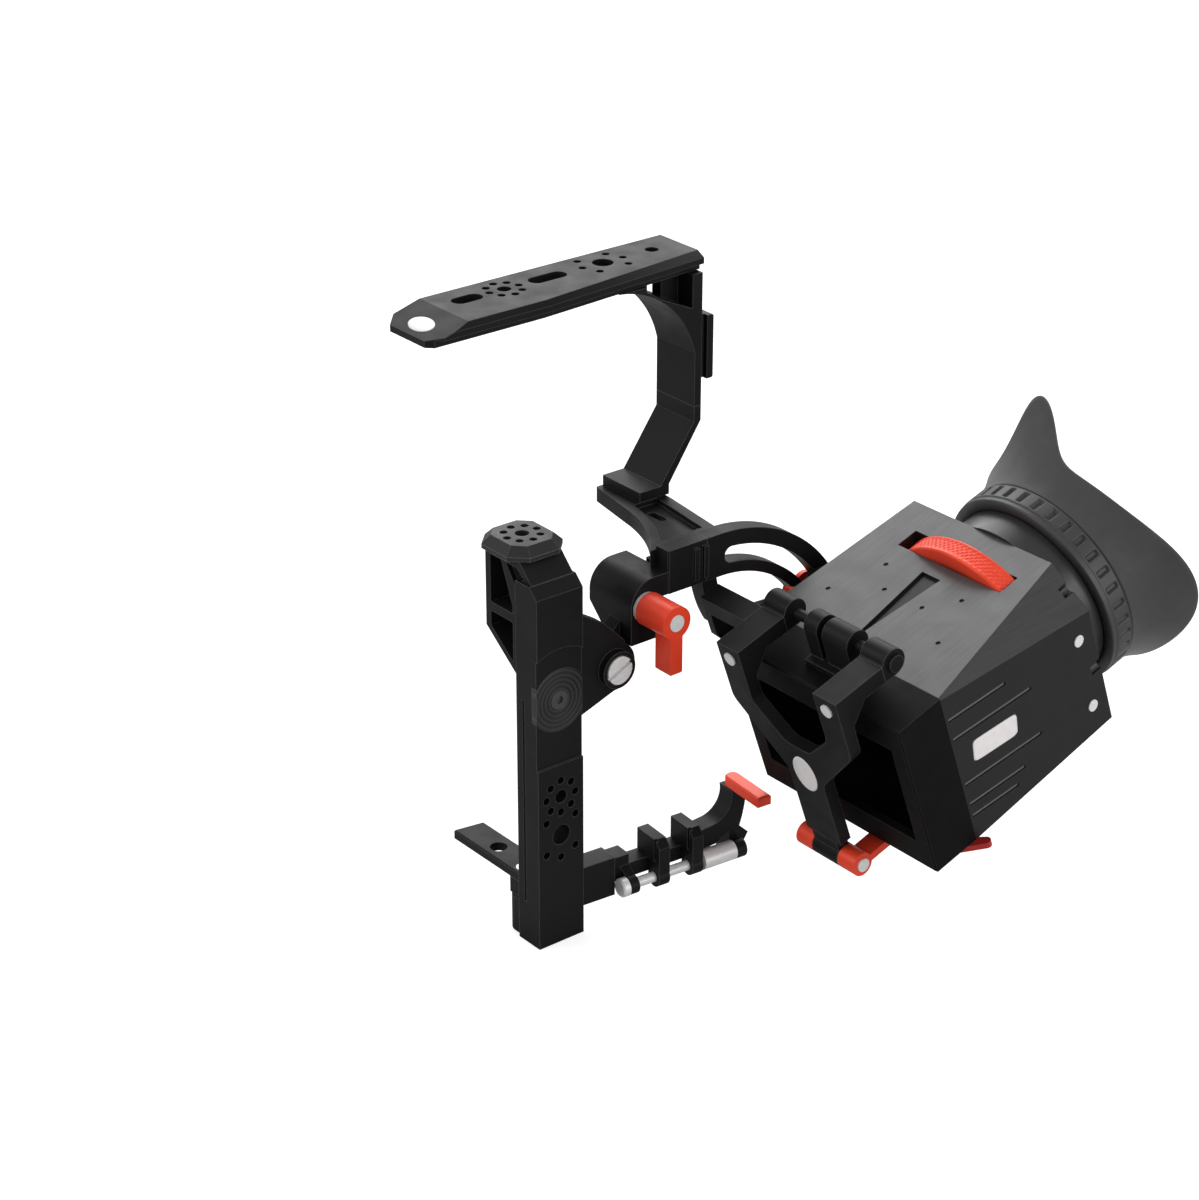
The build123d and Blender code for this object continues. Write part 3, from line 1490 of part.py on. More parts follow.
# =============================================================================================
# Finder frame, hinge and foot knob
# =============================================================================================
with BuildPart() as finder_frame:
    with BuildSketch(finder_across(frame_front)) as frame_outline:
        Polygon(
            (-bar_outer, bar_top),
            (-bar_outer, leg_knee),
            (-leg_lower_half, leg_waist),
            (-leg_lower_half, leg_bottom),
            (leg_lower_half, leg_bottom),
            (leg_lower_half, leg_waist),
            (bar_outer, leg_knee),
            (bar_outer, bar_top),
            (bar_inner, bar_top),
            (bar_inner, fork_knee),
            (fork_floor_half, fork_floor),
            (-fork_floor_half, fork_floor),
            (-bar_inner, fork_knee),
            (-bar_inner, bar_top),
        )
        bends = frame_outline.vertices().group_by(Axis.Y)
        fillet([corner for level in bends[1:-1] for corner in level], leg_corner)
    extrude(amount=-frame_thickness)
    # Bars that reach back over the display, each with a gusset in the corner under it.
    with BuildSketch(finder_across(frame_rear)):
        with Locations((-bar_mid, bar_top), (bar_mid, bar_top)):
            Rectangle(bar_width, bar_height, align=(Align.CENTER, Align.MAX))
    extrude(amount=-(bar_rear - frame_rear))
    for gusset_u in (-bar_outer, bar_inner):
        with BuildSketch(finder_side(gusset_u)):
            Polygon(
                (frame_rear, bar_bottom - bar_gusset),
                (frame_rear, bar_bottom),
                (frame_rear + bar_gusset, bar_bottom),
            )
        extrude(amount=bar_width)
    with BuildSketch(finder_across(frame_front)):
        with Locations((0, frame_badge_w)):
            Ellipse(frame_badge_width / 2, frame_badge_length / 2)
    extrude(amount=-badge_seat, mode=Mode.SUBTRACT)
    with BuildSketch(finder_across(frame_front)):
        with Locations((-bar_mid, frame_screw_w), (bar_mid, frame_screw_w)):
            Circle(small_screw_radius + running_gap)
    extrude(amount=-small_screw_length, mode=Mode.SUBTRACT)
save("finder_frame", finder_frame.part)

with BuildPart() as frame_badge:
    with BuildSketch(finder_across(frame_front + badge_seat)):
        with Locations((0, frame_badge_w)):
            Ellipse(frame_badge_width / 2 - running_gap, frame_badge_length / 2 - running_gap)
    extrude(amount=badge_thickness)
save("frame_badge", frame_badge.part)

with BuildPart() as frame_screws:
    for screw_u in (-bar_mid, bar_mid):
        add_screw(
            Plane(
                origin=finder_point(screw_u, frame_front, frame_screw_w),
                x_dir=finder_right,
                z_dir=-optical_dir,
            ),
            small_head_radius,
            small_head_height / 2,
            small_screw_radius,
            small_screw_length,
        )
save("frame_screws", frame_screws.part)

with BuildPart() as hinge_lower:
    for knuckle_u in (-bar_outer, bar_inner):
        with BuildSketch(finder_side(knuckle_u)):
            with Locations((hinge_v, hinge_w)):
                Circle(hinge_barrel_radius)
            Polygon(
                (bar_rear, bar_bottom),
                (hinge_v, hinge_w - hinge_barrel_radius),
                (hinge_v, hinge_w + hinge_barrel_radius),
                (bar_rear, bar_top),
            )
            with Locations((hinge_v, hinge_w)):
                Circle(hinge_pin_radius + running_gap, mode=Mode.SUBTRACT)
        extrude(amount=bar_width)
save("hinge_lower", hinge_lower.part)

with BuildPart() as hinge_upper:
    with BuildSketch(finder_flat(bezel_top)):
        with Locations((leaf_left, hinge_leaf_v)):
            Rectangle(
                leaf_right_length - leaf_left,
                bezel_rear - hinge_leaf_v,
                align=(Align.MIN, Align.MIN),
            )
    extrude(amount=hinge_leaf_thickness)
    for leaf_u, leaf_length in ((leaf_left, leaf_left_length), (0, leaf_right_length)):
        with BuildSketch(finder_side(leaf_u)):
            Polygon(
                (hinge_v - hinge_barrel_radius, bezel_top),
                (bezel_rear, bezel_top),
                (hinge_v + hinge_barrel_radius, hinge_w),
                (hinge_v - hinge_barrel_radius, hinge_w),
            )
            with Locations((hinge_v, hinge_w)):
                Circle(hinge_barrel_radius)
                Circle(hinge_pin_radius + running_gap, mode=Mode.SUBTRACT)
        extrude(amount=leaf_length)
save("hinge_upper", hinge_upper.part)

with BuildPart() as hinge_pin:
    with BuildSketch(finder_side(-bar_outer - hinge_head_height)):
        with Locations((hinge_v, hinge_w)):
            Circle(hinge_pin_radius)
    extrude(amount=2 * (bar_outer + hinge_head_height))
    for head_u in (-bar_outer - hinge_head_height, bar_outer):
        with BuildSketch(finder_side(head_u)):
            with Locations((hinge_v, hinge_w)):
                Circle(hinge_pin_head)
        extrude(amount=hinge_head_height)
save("hinge_pin", hinge_pin.part)

sleeve_half = foot_sleeve_length / 2
with BuildPart() as foot_sleeve:
    with BuildSketch(finder_side(-sleeve_half)):
        with Locations((foot_knob_v, foot_knob_w)):
            Circle(foot_knob_radius)
        with Locations((foot_knob_v, leg_bottom)):
            Rectangle(
                frame_thickness, leg_bottom - foot_knob_w, align=(Align.CENTER, Align.MAX)
            )
        with Locations((foot_knob_v, foot_knob_w)):
            Circle(foot_axle_radius + running_gap, mode=Mode.SUBTRACT)
    extrude(amount=foot_sleeve_length)
save("foot_sleeve", foot_sleeve.part)

knob_start = sleeve_half + moving_gap
with BuildPart() as foot_axle:
    with BuildSketch(finder_side(-knob_start)):
        with Locations((foot_knob_v, foot_knob_w)):
            Circle(foot_axle_radius)
    extrude(amount=2 * knob_start)
save("foot_axle", foot_axle.part)

with BuildPart() as foot_knob:
    for knob_u in (-knob_start - foot_end_length, knob_start):
        with BuildSketch(finder_side(knob_u)):
            with Locations((foot_knob_v, foot_knob_w)):
                Circle(foot_knob_radius)
        extrude(amount=foot_end_length)
    with BuildSketch(finder_side(knob_start)):
        with Locations((foot_knob_v, foot_knob_w)):
            Rectangle(foot_tip_length, foot_tip_thickness, align=(Align.MIN, Align.CENTER))
    extrude(amount=foot_end_length)
save("foot_knob", foot_knob.part)

with BuildPart() as foot_knob_face:
    with BuildSketch(finder_side(knob_start + foot_end_length)):
        with Locations((foot_knob_v, foot_knob_w)):
            Circle(foot_face_radius)
    extrude(amount=foot_face_height)
save("foot_knob_face", foot_knob_face.part)

# =============================================================================================
# Bezel and loupe shell
# =============================================================================================
release_pivot = finder_point(release_pivot_u, release_pivot_v, bezel_bottom)
with BuildPart() as finder_bezel:
    with BuildSketch(finder_across(bezel_front, optical_w)):
        Rectangle(2 * bezel_half, bezel_height)
    extrude(amount=-bezel_depth)
    front_face = finder_bezel.faces().sort_by(lambda f: optical_dir.dot(f.center()))[0]
    chamfer(front_face.edges(), edge_break)
    with BuildSketch(finder_across(bezel_front, optical_w)):
        Rectangle(2 * mask_half_u, 2 * mask_half_w)
    extrude(amount=-bezel_wall, mode=Mode.SUBTRACT)
    with BuildSketch(finder_across(bezel_front + bezel_wall, optical_w)):
        Rectangle(2 * (bezel_half - bezel_wall), bezel_height - 2 * bezel_wall)
    extrude(amount=-(bezel_depth - bezel_wall), mode=Mode.SUBTRACT)
    with BuildSketch(Plane(origin=release_pivot, x_dir=finder_right, z_dir=-finder_up)):
        Circle(release_pin_radius + running_gap)
    extrude(amount=-release_pin_length - moving_gap, mode=Mode.SUBTRACT)
save("finder_bezel", finder_bezel.part)


def shell_section(v, inset):
    """Corners of the loupe's outline at depth v, drawn in by inset, about u = 0 and w = 0."""
    share = (v - bezel_rear) / shell_length
    left = -bezel_half + shell_taper_left * share + inset
    right = bezel_half - shell_taper_right * share - inset
    corner = shell_front_corner + shell_corner_share * inset
    corner_u = corner + (shell_corner_u - shell_front_corner) * share
    corner_w = corner + (shell_corner_w - shell_front_corner) * share
    top = bezel_top - inset
    bottom = bezel_bottom + inset
    return [
        (left, bottom),
        (right, bottom),
        (right, top - corner_w),
        (right - corner_u, top),
        (left, top),
    ]


def shell_side_plane(side):
    """Plane on the loupe's tapered side: x runs rearwards along it and y upwards."""
    taper = shell_taper_right if side > 0 else shell_taper_left
    lean = math.atan2(taper, shell_length)
    out = finder_right * (side * math.cos(lean)) + optical_dir * math.sin(lean)
    along = optical_dir * math.cos(lean) - finder_right * (side * math.sin(lean))
    return Plane(origin=finder_point(side * bezel_half, bezel_rear, 0), x_dir=along, z_dir=out)


right_side = shell_side_plane(1)
left_side = shell_side_plane(-1)
with BuildPart() as loupe_shell:
    for v in (bezel_rear, shell_rear):
        with BuildSketch(finder_across(v)):
            Polygon(*shell_section(v, 0))
    loft(ruled=True)
    for v in (bezel_rear, bulkhead_front):
        with BuildSketch(finder_across(v)):
            Polygon(*shell_section(v, shell_wall))
    loft(ruled=True, mode=Mode.SUBTRACT)
    # Bore for the lens barrel, and the bay that the focus wheel turns in.
    with BuildSketch(finder_across(bulkhead_front, optical_w)):
        Circle(barrel_radius + barrel_clearance)
    extrude(amount=-(shell_rear - bulkhead_front), mode=Mode.SUBTRACT)
    with BuildSketch(finder_across(wheel_front_v - wheel_gap, optical_w)):
        Circle(wheel_radius + wheel_gap)
    extrude(amount=-(wheel_width + 2 * wheel_gap), mode=Mode.SUBTRACT)
    with BuildSketch(finder_flat(bezel_top)):
        with Locations((dot_mid_u / 2, wheel_front_v + wheel_width / 2)):
            Rectangle(2 * wheel_slot_half, wheel_width + 2 * wheel_gap)
    extrude(amount=-wheel_slot_depth, mode=Mode.SUBTRACT)
    # Wedge and dots in the top.
    with BuildSketch(finder_flat(bezel_top)):
        Polygon(
            (dot_mid_u, wedge_front_v),
            (dot_mid_u + wedge_half, wedge_rear_v),
            (dot_mid_u - wedge_half, wedge_rear_v),
        )
    extrude(amount=-wedge_depth, mode=Mode.SUBTRACT)
    with BuildSketch(finder_flat(bezel_top)):
        for dot_offset, dot_v in top_dots:
            with Locations((dot_mid_u - dot_offset, dot_v), (dot_mid_u + dot_offset, dot_v)):
                Circle(dot_radius)
    extrude(amount=-dot_depth, mode=Mode.SUBTRACT)
    # Two round-bottomed notches in the rear rim, in the right side and in the bevelled corner.
    rear_corners = shell_section(shell_rear, 0)
    with BuildSketch(finder_across(shell_rear)):
        with Locations(
            (rear_corners[2][0], notch_side_w),
            (
                (rear_corners[2][0] + rear_corners[3][0]) / 2,
                (rear_corners[2][1] + rear_corners[3][1]) / 2,
            ),
        ):
            Circle(notch_radius)
    extrude(amount=notch_length, mode=Mode.SUBTRACT)
    # Grooves, label seat and screw seats in the sides.
    for side in (right_side, left_side):
        with BuildSketch(side):
            for groove_w, groove_length in side_grooves:
                with Locations(Location((side_groove_start, groove_w), groove_slope)):
                    Rectangle(groove_length, groove_width, align=(Align.MIN, Align.CENTER))
        extrude(amount=-groove_depth, mode=Mode.SUBTRACT)
        for screw_w in side_screw_heights:
            screw_plane = side * Plane(origin=(side_screw_v - bezel_rear, screw_w, 0))
            cut_screw_seat(
                screw_plane,
                side_screw_radius,
                side_screw_seat,
                side_screw_shank,
                side_screw_length,
            )
    with BuildSketch(right_side):
        with Locations(Location((label_v - bezel_rear, label_w), label_turn)):
            RectangleRounded(label_length, label_height, edge_break)
    extrude(amount=-label_seat, mode=Mode.SUBTRACT)
save("loupe_shell", loupe_shell.part)

with BuildPart() as label_plate:
    with BuildSketch(right_side.offset(-label_seat)):
        with Locations(Location((label_v - bezel_rear, label_w), label_turn)):
            RectangleRounded(
                label_length - 2 * running_gap, label_height - 2 * running_gap, edge_break
            )
    extrude(amount=label_thickness)
save("label_plate", label_plate.part)

with BuildPart() as side_screws:
    for side in (right_side, left_side):
        for screw_w in side_screw_heights:
            add_screw(
                side * Plane(origin=(side_screw_v - bezel_rear, screw_w, -side_screw_seat)),
                side_screw_radius,
                side_screw_seat + side_screw_proud,
                side_screw_shank,
                side_screw_length - moving_gap,
            )
save("side_screws", side_screws.part)

release_plane = Plane(
    origin=release_pivot - finder_up * running_gap, x_dir=finder_right, z_dir=-finder_up
)
release_end = (
    release_length * math.cos(math.radians(release_turn)),
    -release_length * math.sin(math.radians(release_turn)),
)
with BuildPart() as release_lever:
    with BuildSketch(release_plane):
        Circle(release_hub_radius)
        with Locations(release_end):
            Circle(release_tip_radius)
        make_hull()
    extrude(amount=release_thickness)
    with BuildSketch(release_plane):
        Circle(release_pin_radius)
    extrude(amount=-release_pin_length)
save("release_lever", release_lever.part)

# =============================================================================================
# Focus wheel, lens barrel and eyepiece
# =============================================================================================
with BuildPart() as focus_wheel:
    with BuildSketch(finder_across(wheel_front_v, optical_w)):
        Circle(wheel_radius)
        with PolarLocations(wheel_radius, wheel_tooth_count):
            Rectangle(2 * wheel_tooth_depth, 2 * wheel_tooth_depth, mode=Mode.SUBTRACT)
        Circle(barrel_radius + running_gap, mode=Mode.SUBTRACT)
    extrude(amount=-wheel_width)
save("focus_wheel", focus_wheel.part)

lens_seat_front = front_lens_edge + retainer_thickness
with BuildPart() as lens_barrel:
    with BuildSketch(finder_across(barrel_front_v, optical_w)):
        Circle(barrel_radius)
        Circle(barrel_bore - lens_ledge, mode=Mode.SUBTRACT)
    extrude(amount=-barrel_length)
    with BuildSketch(finder_across(barrel_front_v, optical_w)):
        Circle(barrel_bore)
    extrude(amount=-lens_seat_front, mode=Mode.SUBTRACT)
    with BuildSketch(finder_across(barrel_rear_v, optical_w)):
        Circle(barrel_bore)
    extrude(amount=rear_lens_edge, mode=Mode.SUBTRACT)
save("lens_barrel", lens_barrel.part)


def lens_axis():
    """The optical axis."""
    return Axis(origin=finder_point(0, 0, optical_w), direction=optical_dir)


lens_radius = barrel_bore - running_gap
lens_ledge_radius = lens_radius - lens_ledge - moving_gap


def add_lens(edge_front, edge_depth, crown_radius, crown):
    """Add a lens: a flat front face, a cylindrical edge and a crown towards the rear."""
    with BuildSketch(finder_across(edge_front, optical_w)) as disc:
        Circle(lens_radius)
    extrude(disc.sketch, amount=-edge_depth)
    crown_start = edge_front + edge_depth
    with BuildSketch(finder_side(0)) as profile:
        with BuildLine():
            ThreePointArc(
                (crown_start, optical_w - crown_radius),
                (crown_start + crown, optical_w),
                (crown_start, optical_w + crown_radius),
            )
            Line((crown_start, optical_w + crown_radius), (crown_start, optical_w - crown_radius))
        make_face()
        with Locations((crown_start, optical_w)):
            Rectangle(
                crown, crown_radius, align=(Align.MIN, Align.MIN), mode=Mode.INTERSECT
            )
    revolve(profile.sketch, axis=lens_axis())


with BuildPart() as front_lens:
    add_lens(
        barrel_front_v + retainer_thickness, front_lens_edge, lens_ledge_radius, front_lens_crown
    )
save("front_lens", front_lens.part)

with BuildPart() as rear_lens:
    add_lens(
        barrel_rear_v - rear_lens_edge,
        rear_lens_edge - rear_lens_rim,
        lens_radius,
        rear_lens_crown,
    )
save("rear_lens", rear_lens.part)

with BuildPart() as lens_retainer:
    with BuildSketch(finder_across(barrel_front_v, optical_w)):
        Circle(lens_radius)
        Circle(retainer_opening, mode=Mode.SUBTRACT)
    extrude(amount=-retainer_thickness)
save("lens_retainer", lens_retainer.part)

with BuildPart() as eyepiece_ring:
    with BuildSketch(finder_across(shell_rear, optical_w)):
        Circle(eyepiece_radius)
    extrude(amount=-eyepiece_length)
    with BuildSketch(finder_across(eyepiece_rear, optical_w)):
        Circle(neck_radius)
    extrude(amount=-(neck_rear - eyepiece_rear))
    with BuildSketch(finder_across(shell_rear, optical_w)):
        Circle(barrel_radius + running_gap)
    extrude(amount=-(neck_rear - shell_rear), mode=Mode.SUBTRACT)
save("eyepiece_ring", eyepiece_ring.part)

with BuildPart() as eyepiece_retainer:
    with BuildSketch(finder_across(neck_rear, optical_w)):
        Circle(eyepiece_lock_radius)
        Circle(barrel_radius + barrel_clearance, mode=Mode.SUBTRACT)
    extrude(amount=-eyepiece_lock_thickness)
save("eyepiece_retainer", eyepiece_retainer.part)

with BuildPart() as diopter_ring:
    with BuildSketch(finder_across(diopter_front, optical_w)):
        Circle(diopter_radius)
    extrude(amount=-diopter_length)
    with BuildSketch(finder_across(diopter_front + diopter_rib_margin, optical_w)):
        with PolarLocations(diopter_radius, diopter_rib_count):
            Rectangle(2 * diopter_rib_depth, 2 * diopter_rib_depth)
    extrude(amount=-(diopter_length - 2 * diopter_rib_margin), mode=Mode.SUBTRACT)
    with BuildSketch(finder_across(diopter_rear, optical_w)):
        Circle(diopter_collar_radius)
    extrude(amount=-diopter_collar_length)
    with BuildSketch(finder_across(diopter_front, optical_w)):
        Circle(neck_radius + running_gap)
    extrude(amount=-(diopter_length + diopter_collar_length), mode=Mode.SUBTRACT)
    with BuildSketch(finder_across(neck_rear - moving_gap, optical_w)):
        Circle(eyepiece_lock_radius + moving_gap)
    extrude(amount=-(diopter_length + diopter_collar_length), mode=Mode.SUBTRACT)
save("diopter_ring", diopter_ring.part)

# The eyecup is a flared sleeve whose rim rises to a horn and to a lower lobe on each side of it.
cup_start = diopter_rear + cup_gap
cup_root = diopter_collar_radius + cup_gap
cup_shares = ((0.0, 0.0), (0.25, 0.08), (0.42, 0.24), (0.7, 0.65), (1.0, 1.0))
cup_inner = [
    (cup_start + cup_length * a, optical_w + cup_root + cup_flare * r) for a, r in cup_shares
]
cup_outer = [
    (cup_start + (cup_length - cup_wall / 2) * a, optical_w + cup_root + cup_wall + cup_flare * r)
    for a, r in cup_shares
]
horn_turn = math.radians(horn_angle)
horn_side = finder_up * math.sin(horn_turn) + finder_right * math.cos(horn_turn)
horn_plane = Plane(origin=finder_point(0, 0, optical_w), x_dir=optical_dir, z_dir=horn_side)
cup_reach = cup_root + cup_wall + cup_flare
with BuildPart() as eyecup:
    with BuildSketch(finder_side(0)):
        with BuildLine():
            Spline(*cup_inner)
            Line(cup_inner[-1], cup_outer[-1])
            Spline(*cup_outer)
            Line(cup_outer[0], cup_inner[0])
        make_face()
    revolve(axis=lens_axis())
    with BuildSketch(horn_plane):
        with BuildLine():
            rim = Spline(
                (cup_start + rim_low, -cup_reach),
                (cup_start + rim_lobe, -rim_lobe_place),
                (cup_start + rim_dip, rim_dip_place),
                (cup_start + cup_length, cup_reach),
            )
            Polyline(
                rim @ 1,
                (cup_start, cup_reach),
                (cup_start, -cup_reach),
                rim @ 0,
            )
        make_face()
    extrude(amount=cup_reach, both=True, mode=Mode.INTERSECT)
save("eyecup", eyecup.part)
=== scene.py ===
import json
import math

import bmesh
import bpy
import numpy as np
from bpy.props import FloatProperty, FloatVectorProperty, IntProperty, PointerProperty
from bpy.types import Operator, Panel, PropertyGroup
from mathutils import Matrix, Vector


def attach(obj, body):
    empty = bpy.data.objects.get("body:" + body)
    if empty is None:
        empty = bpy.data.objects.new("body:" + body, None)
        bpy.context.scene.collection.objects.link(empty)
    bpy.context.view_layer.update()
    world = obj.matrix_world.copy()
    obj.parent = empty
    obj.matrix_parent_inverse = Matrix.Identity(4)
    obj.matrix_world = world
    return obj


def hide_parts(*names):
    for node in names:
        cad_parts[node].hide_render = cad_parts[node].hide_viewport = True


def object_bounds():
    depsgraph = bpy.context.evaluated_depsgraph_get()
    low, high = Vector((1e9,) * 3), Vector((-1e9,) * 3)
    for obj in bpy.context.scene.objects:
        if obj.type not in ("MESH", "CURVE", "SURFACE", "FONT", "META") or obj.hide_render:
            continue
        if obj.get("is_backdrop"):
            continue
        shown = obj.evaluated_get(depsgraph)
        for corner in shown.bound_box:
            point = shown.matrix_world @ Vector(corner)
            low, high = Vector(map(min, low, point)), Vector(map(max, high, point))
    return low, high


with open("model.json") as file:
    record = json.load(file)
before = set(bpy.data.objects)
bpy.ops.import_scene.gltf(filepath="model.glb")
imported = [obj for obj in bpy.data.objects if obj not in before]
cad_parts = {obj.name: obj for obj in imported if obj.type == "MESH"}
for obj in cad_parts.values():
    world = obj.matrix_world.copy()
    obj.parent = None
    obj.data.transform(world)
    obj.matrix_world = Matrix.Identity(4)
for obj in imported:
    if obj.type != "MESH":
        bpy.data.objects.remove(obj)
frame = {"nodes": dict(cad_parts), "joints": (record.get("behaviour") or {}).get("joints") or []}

bl_info = {
    "name": "Camera Cage Finish",
    "version": (1, 0, 0),
    "blender": (4, 5, 0),
    "location": "View3D > Sidebar > Camera Cage",
    "description": "Dresses a camera cage with its eyecup, rings, plates, finishes and a studio",
    "category": "Object",
}

# --- where things are ------------------------------------------------------------------------
MM = 0.001
JOINTS = {joint["name"]: joint for joint in frame["joints"]}
OPTICAL = np.array(JOINTS["focus_wheel_turn"]["axis"], float)
RIGHT = np.array((1.0, 0.0, 0.0))
UP = np.cross(RIGHT, OPTICAL)
LENS_CENTRE = np.array(JOINTS["focus_wheel_turn"]["pos_m"], float)
LAMP_AIM = np.array([sum(pair) / 2 for pair in zip(*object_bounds())])

# The frame has plain materials of its own, so the finishes' names get a tail.
FINISH_TAIL = "_finish"

# Noise keeps mostly between these levels, so patterns are spread from them.
NOISE_BAND = (0.3, 0.7)
# Cosines between which a mask goes from 0 to 1: how far a rounded edge's normal leans away from
# its face, and how squarely a bevel or a flat face looks along a direction.
EDGE_LEAN = (0.99, 0.82)
BEVEL_LEAN = (0.9, 0.94)
FACE_LEAN = (0.93, 0.97)
# Scale of the turned rings' wave, about one ring in 1.7 mm.
RING_SCALE = 180.0

# Which finish each kept CAD node wears.
NODE_FINISH = {
    "black_anodised": (
        "base_plate", "base_foot", "side_post", "neck_frame", "link_web",
        "clamp_block", "arm_block", "curved_track", "rear_strut", "rear_cross_member",
        "riser_leg", "handle_riser", "shoe_rail", "handle_rail", "side_rail", "clip_front",
        "clip_rear", "rear_latch", "finder_carriage", "finder_bracket", "finder_frame",
        "hinge_lower", "hinge_upper", "hinge_pin", "foot_sleeve",
    ),
    "bezel_black": ("finder_bezel",),
    "turned_black": ("rosette_disc",),
    "grey_anodised": ("post_cap",),
    "brushed_shell": ("loupe_shell",),
    "steel": (
        "base_screws", "thumb_screw", "clamp_stud", "clamp_lever_cap", "rail_rod", "rod_cap",
        "rod_sleeve", "carriage_pin", "frame_screws", "foot_axle",
        "foot_knob_face", "side_screws",
    ),
    "black_steel": ("rosette_bolt",),
    "red_anodised": ("clamp_lever", "latch_lever", "track_lock", "foot_knob"),
    "dark_red": ("release_lever",),
    "barrel_black": ("lens_barrel", "lens_retainer", "eyepiece_retainer", "eyepiece_ring"),
    "lens_glass": ("front_lens", "rear_lens"),
}


def node_points(node):
    """Every vertex of a CAD node, in metres."""
    mesh = frame["nodes"][node].data
    points = np.empty(len(mesh.vertices) * 3)
    mesh.vertices.foreach_get("co", points)
    return points.reshape(-1, 3)


def reach(node):
    """Depth range along the optical axis and radius range about it of a CAD node."""
    offset = node_points(node) - LENS_CENTRE
    depth = offset @ OPTICAL
    radius = np.linalg.norm(offset - depth[:, None] * OPTICAL, axis=1)
    return depth.min(), depth.max(), radius.min(), radius.max()


def plate_ways(node, outward):
    """A flat node's long, short and outward directions, from how its points spread."""
    points = node_points(node)
    spread = points - points.mean(0)
    _, _, (long_way, short_way, normal) = np.linalg.svd(spread, full_matrices=False)
    return long_way, short_way, normal * np.sign(normal @ outward)


def lens_point(angle, depth, radius):
    """Points at an angle from the finder's up towards its right, a depth and a radius."""
    across = np.cos(angle)[..., None] * UP + np.sin(angle)[..., None] * RIGHT
    return LENS_CENTRE + depth[..., None] * OPTICAL + radius[..., None] * across


def full_turn(count):
    """Evenly spaced angles once round."""
    return np.linspace(0.0, 2 * math.pi, count, endpoint=False)


def ramp(distance, steepness):
    """0 where the distance is negative, and then rising to 1 at that steepness."""
    return np.clip(distance * steepness, 0.0, 1.0)


# --- meshes ----------------------------------------------------------------------------------
def surface(name, points):
    """A closed mesh from a grid of points that runs round in both directions.

    Each cell of the grid is a four-sided face between a row and the next and a column and the
    next, and the last row and column join the first. Points that coincide are merged, and the
    faces are turned outwards.
    """
    rows, columns, _ = points.shape
    index = np.arange(rows * columns).reshape(rows, columns)
    below = np.roll(index, -1, axis=0)
    faces = np.stack(
        (index, below, np.roll(below, -1, axis=1), np.roll(index, -1, axis=1)), axis=-1
    )
    mesh = bpy.data.meshes.new(name)
    mesh.from_pydata(points.reshape(-1, 3).tolist(), [], faces.reshape(-1, 4).tolist())
    skin = bmesh.new()
    skin.from_mesh(mesh)
    bmesh.ops.remove_doubles(skin, verts=skin.verts, dist=1e-7)
    bmesh.ops.recalc_face_normals(skin, faces=skin.faces)
    skin.to_mesh(mesh)
    skin.free()
    mesh.polygons.foreach_set("use_smooth", np.ones(len(mesh.polygons), bool))
    piece = bpy.data.objects.new(name, mesh)
    bpy.context.scene.collection.objects.link(piece)
    return piece


def round_piece(name, angle, depth, radius):
    """A closed surface round the optical axis, from a depth and radius at each row and angle."""
    return surface(name, lens_point(*np.broadcast_arrays(angle[None, :], depth, radius)))


def place(piece, body, slot, finish, *nodes):
    """Give a new piece its material, the CAD body it rides on and the nodes it stands for."""
    piece.data.materials.append(bpy.data.materials[finish + FINISH_TAIL])
    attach(piece, body)
    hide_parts(*nodes)


# --- materials -------------------------------------------------------------------------------
def shade(colour, factor):
    """A colour made lighter or darker by a factor."""
    return tuple(min(1.0, part * factor) for part in colour)


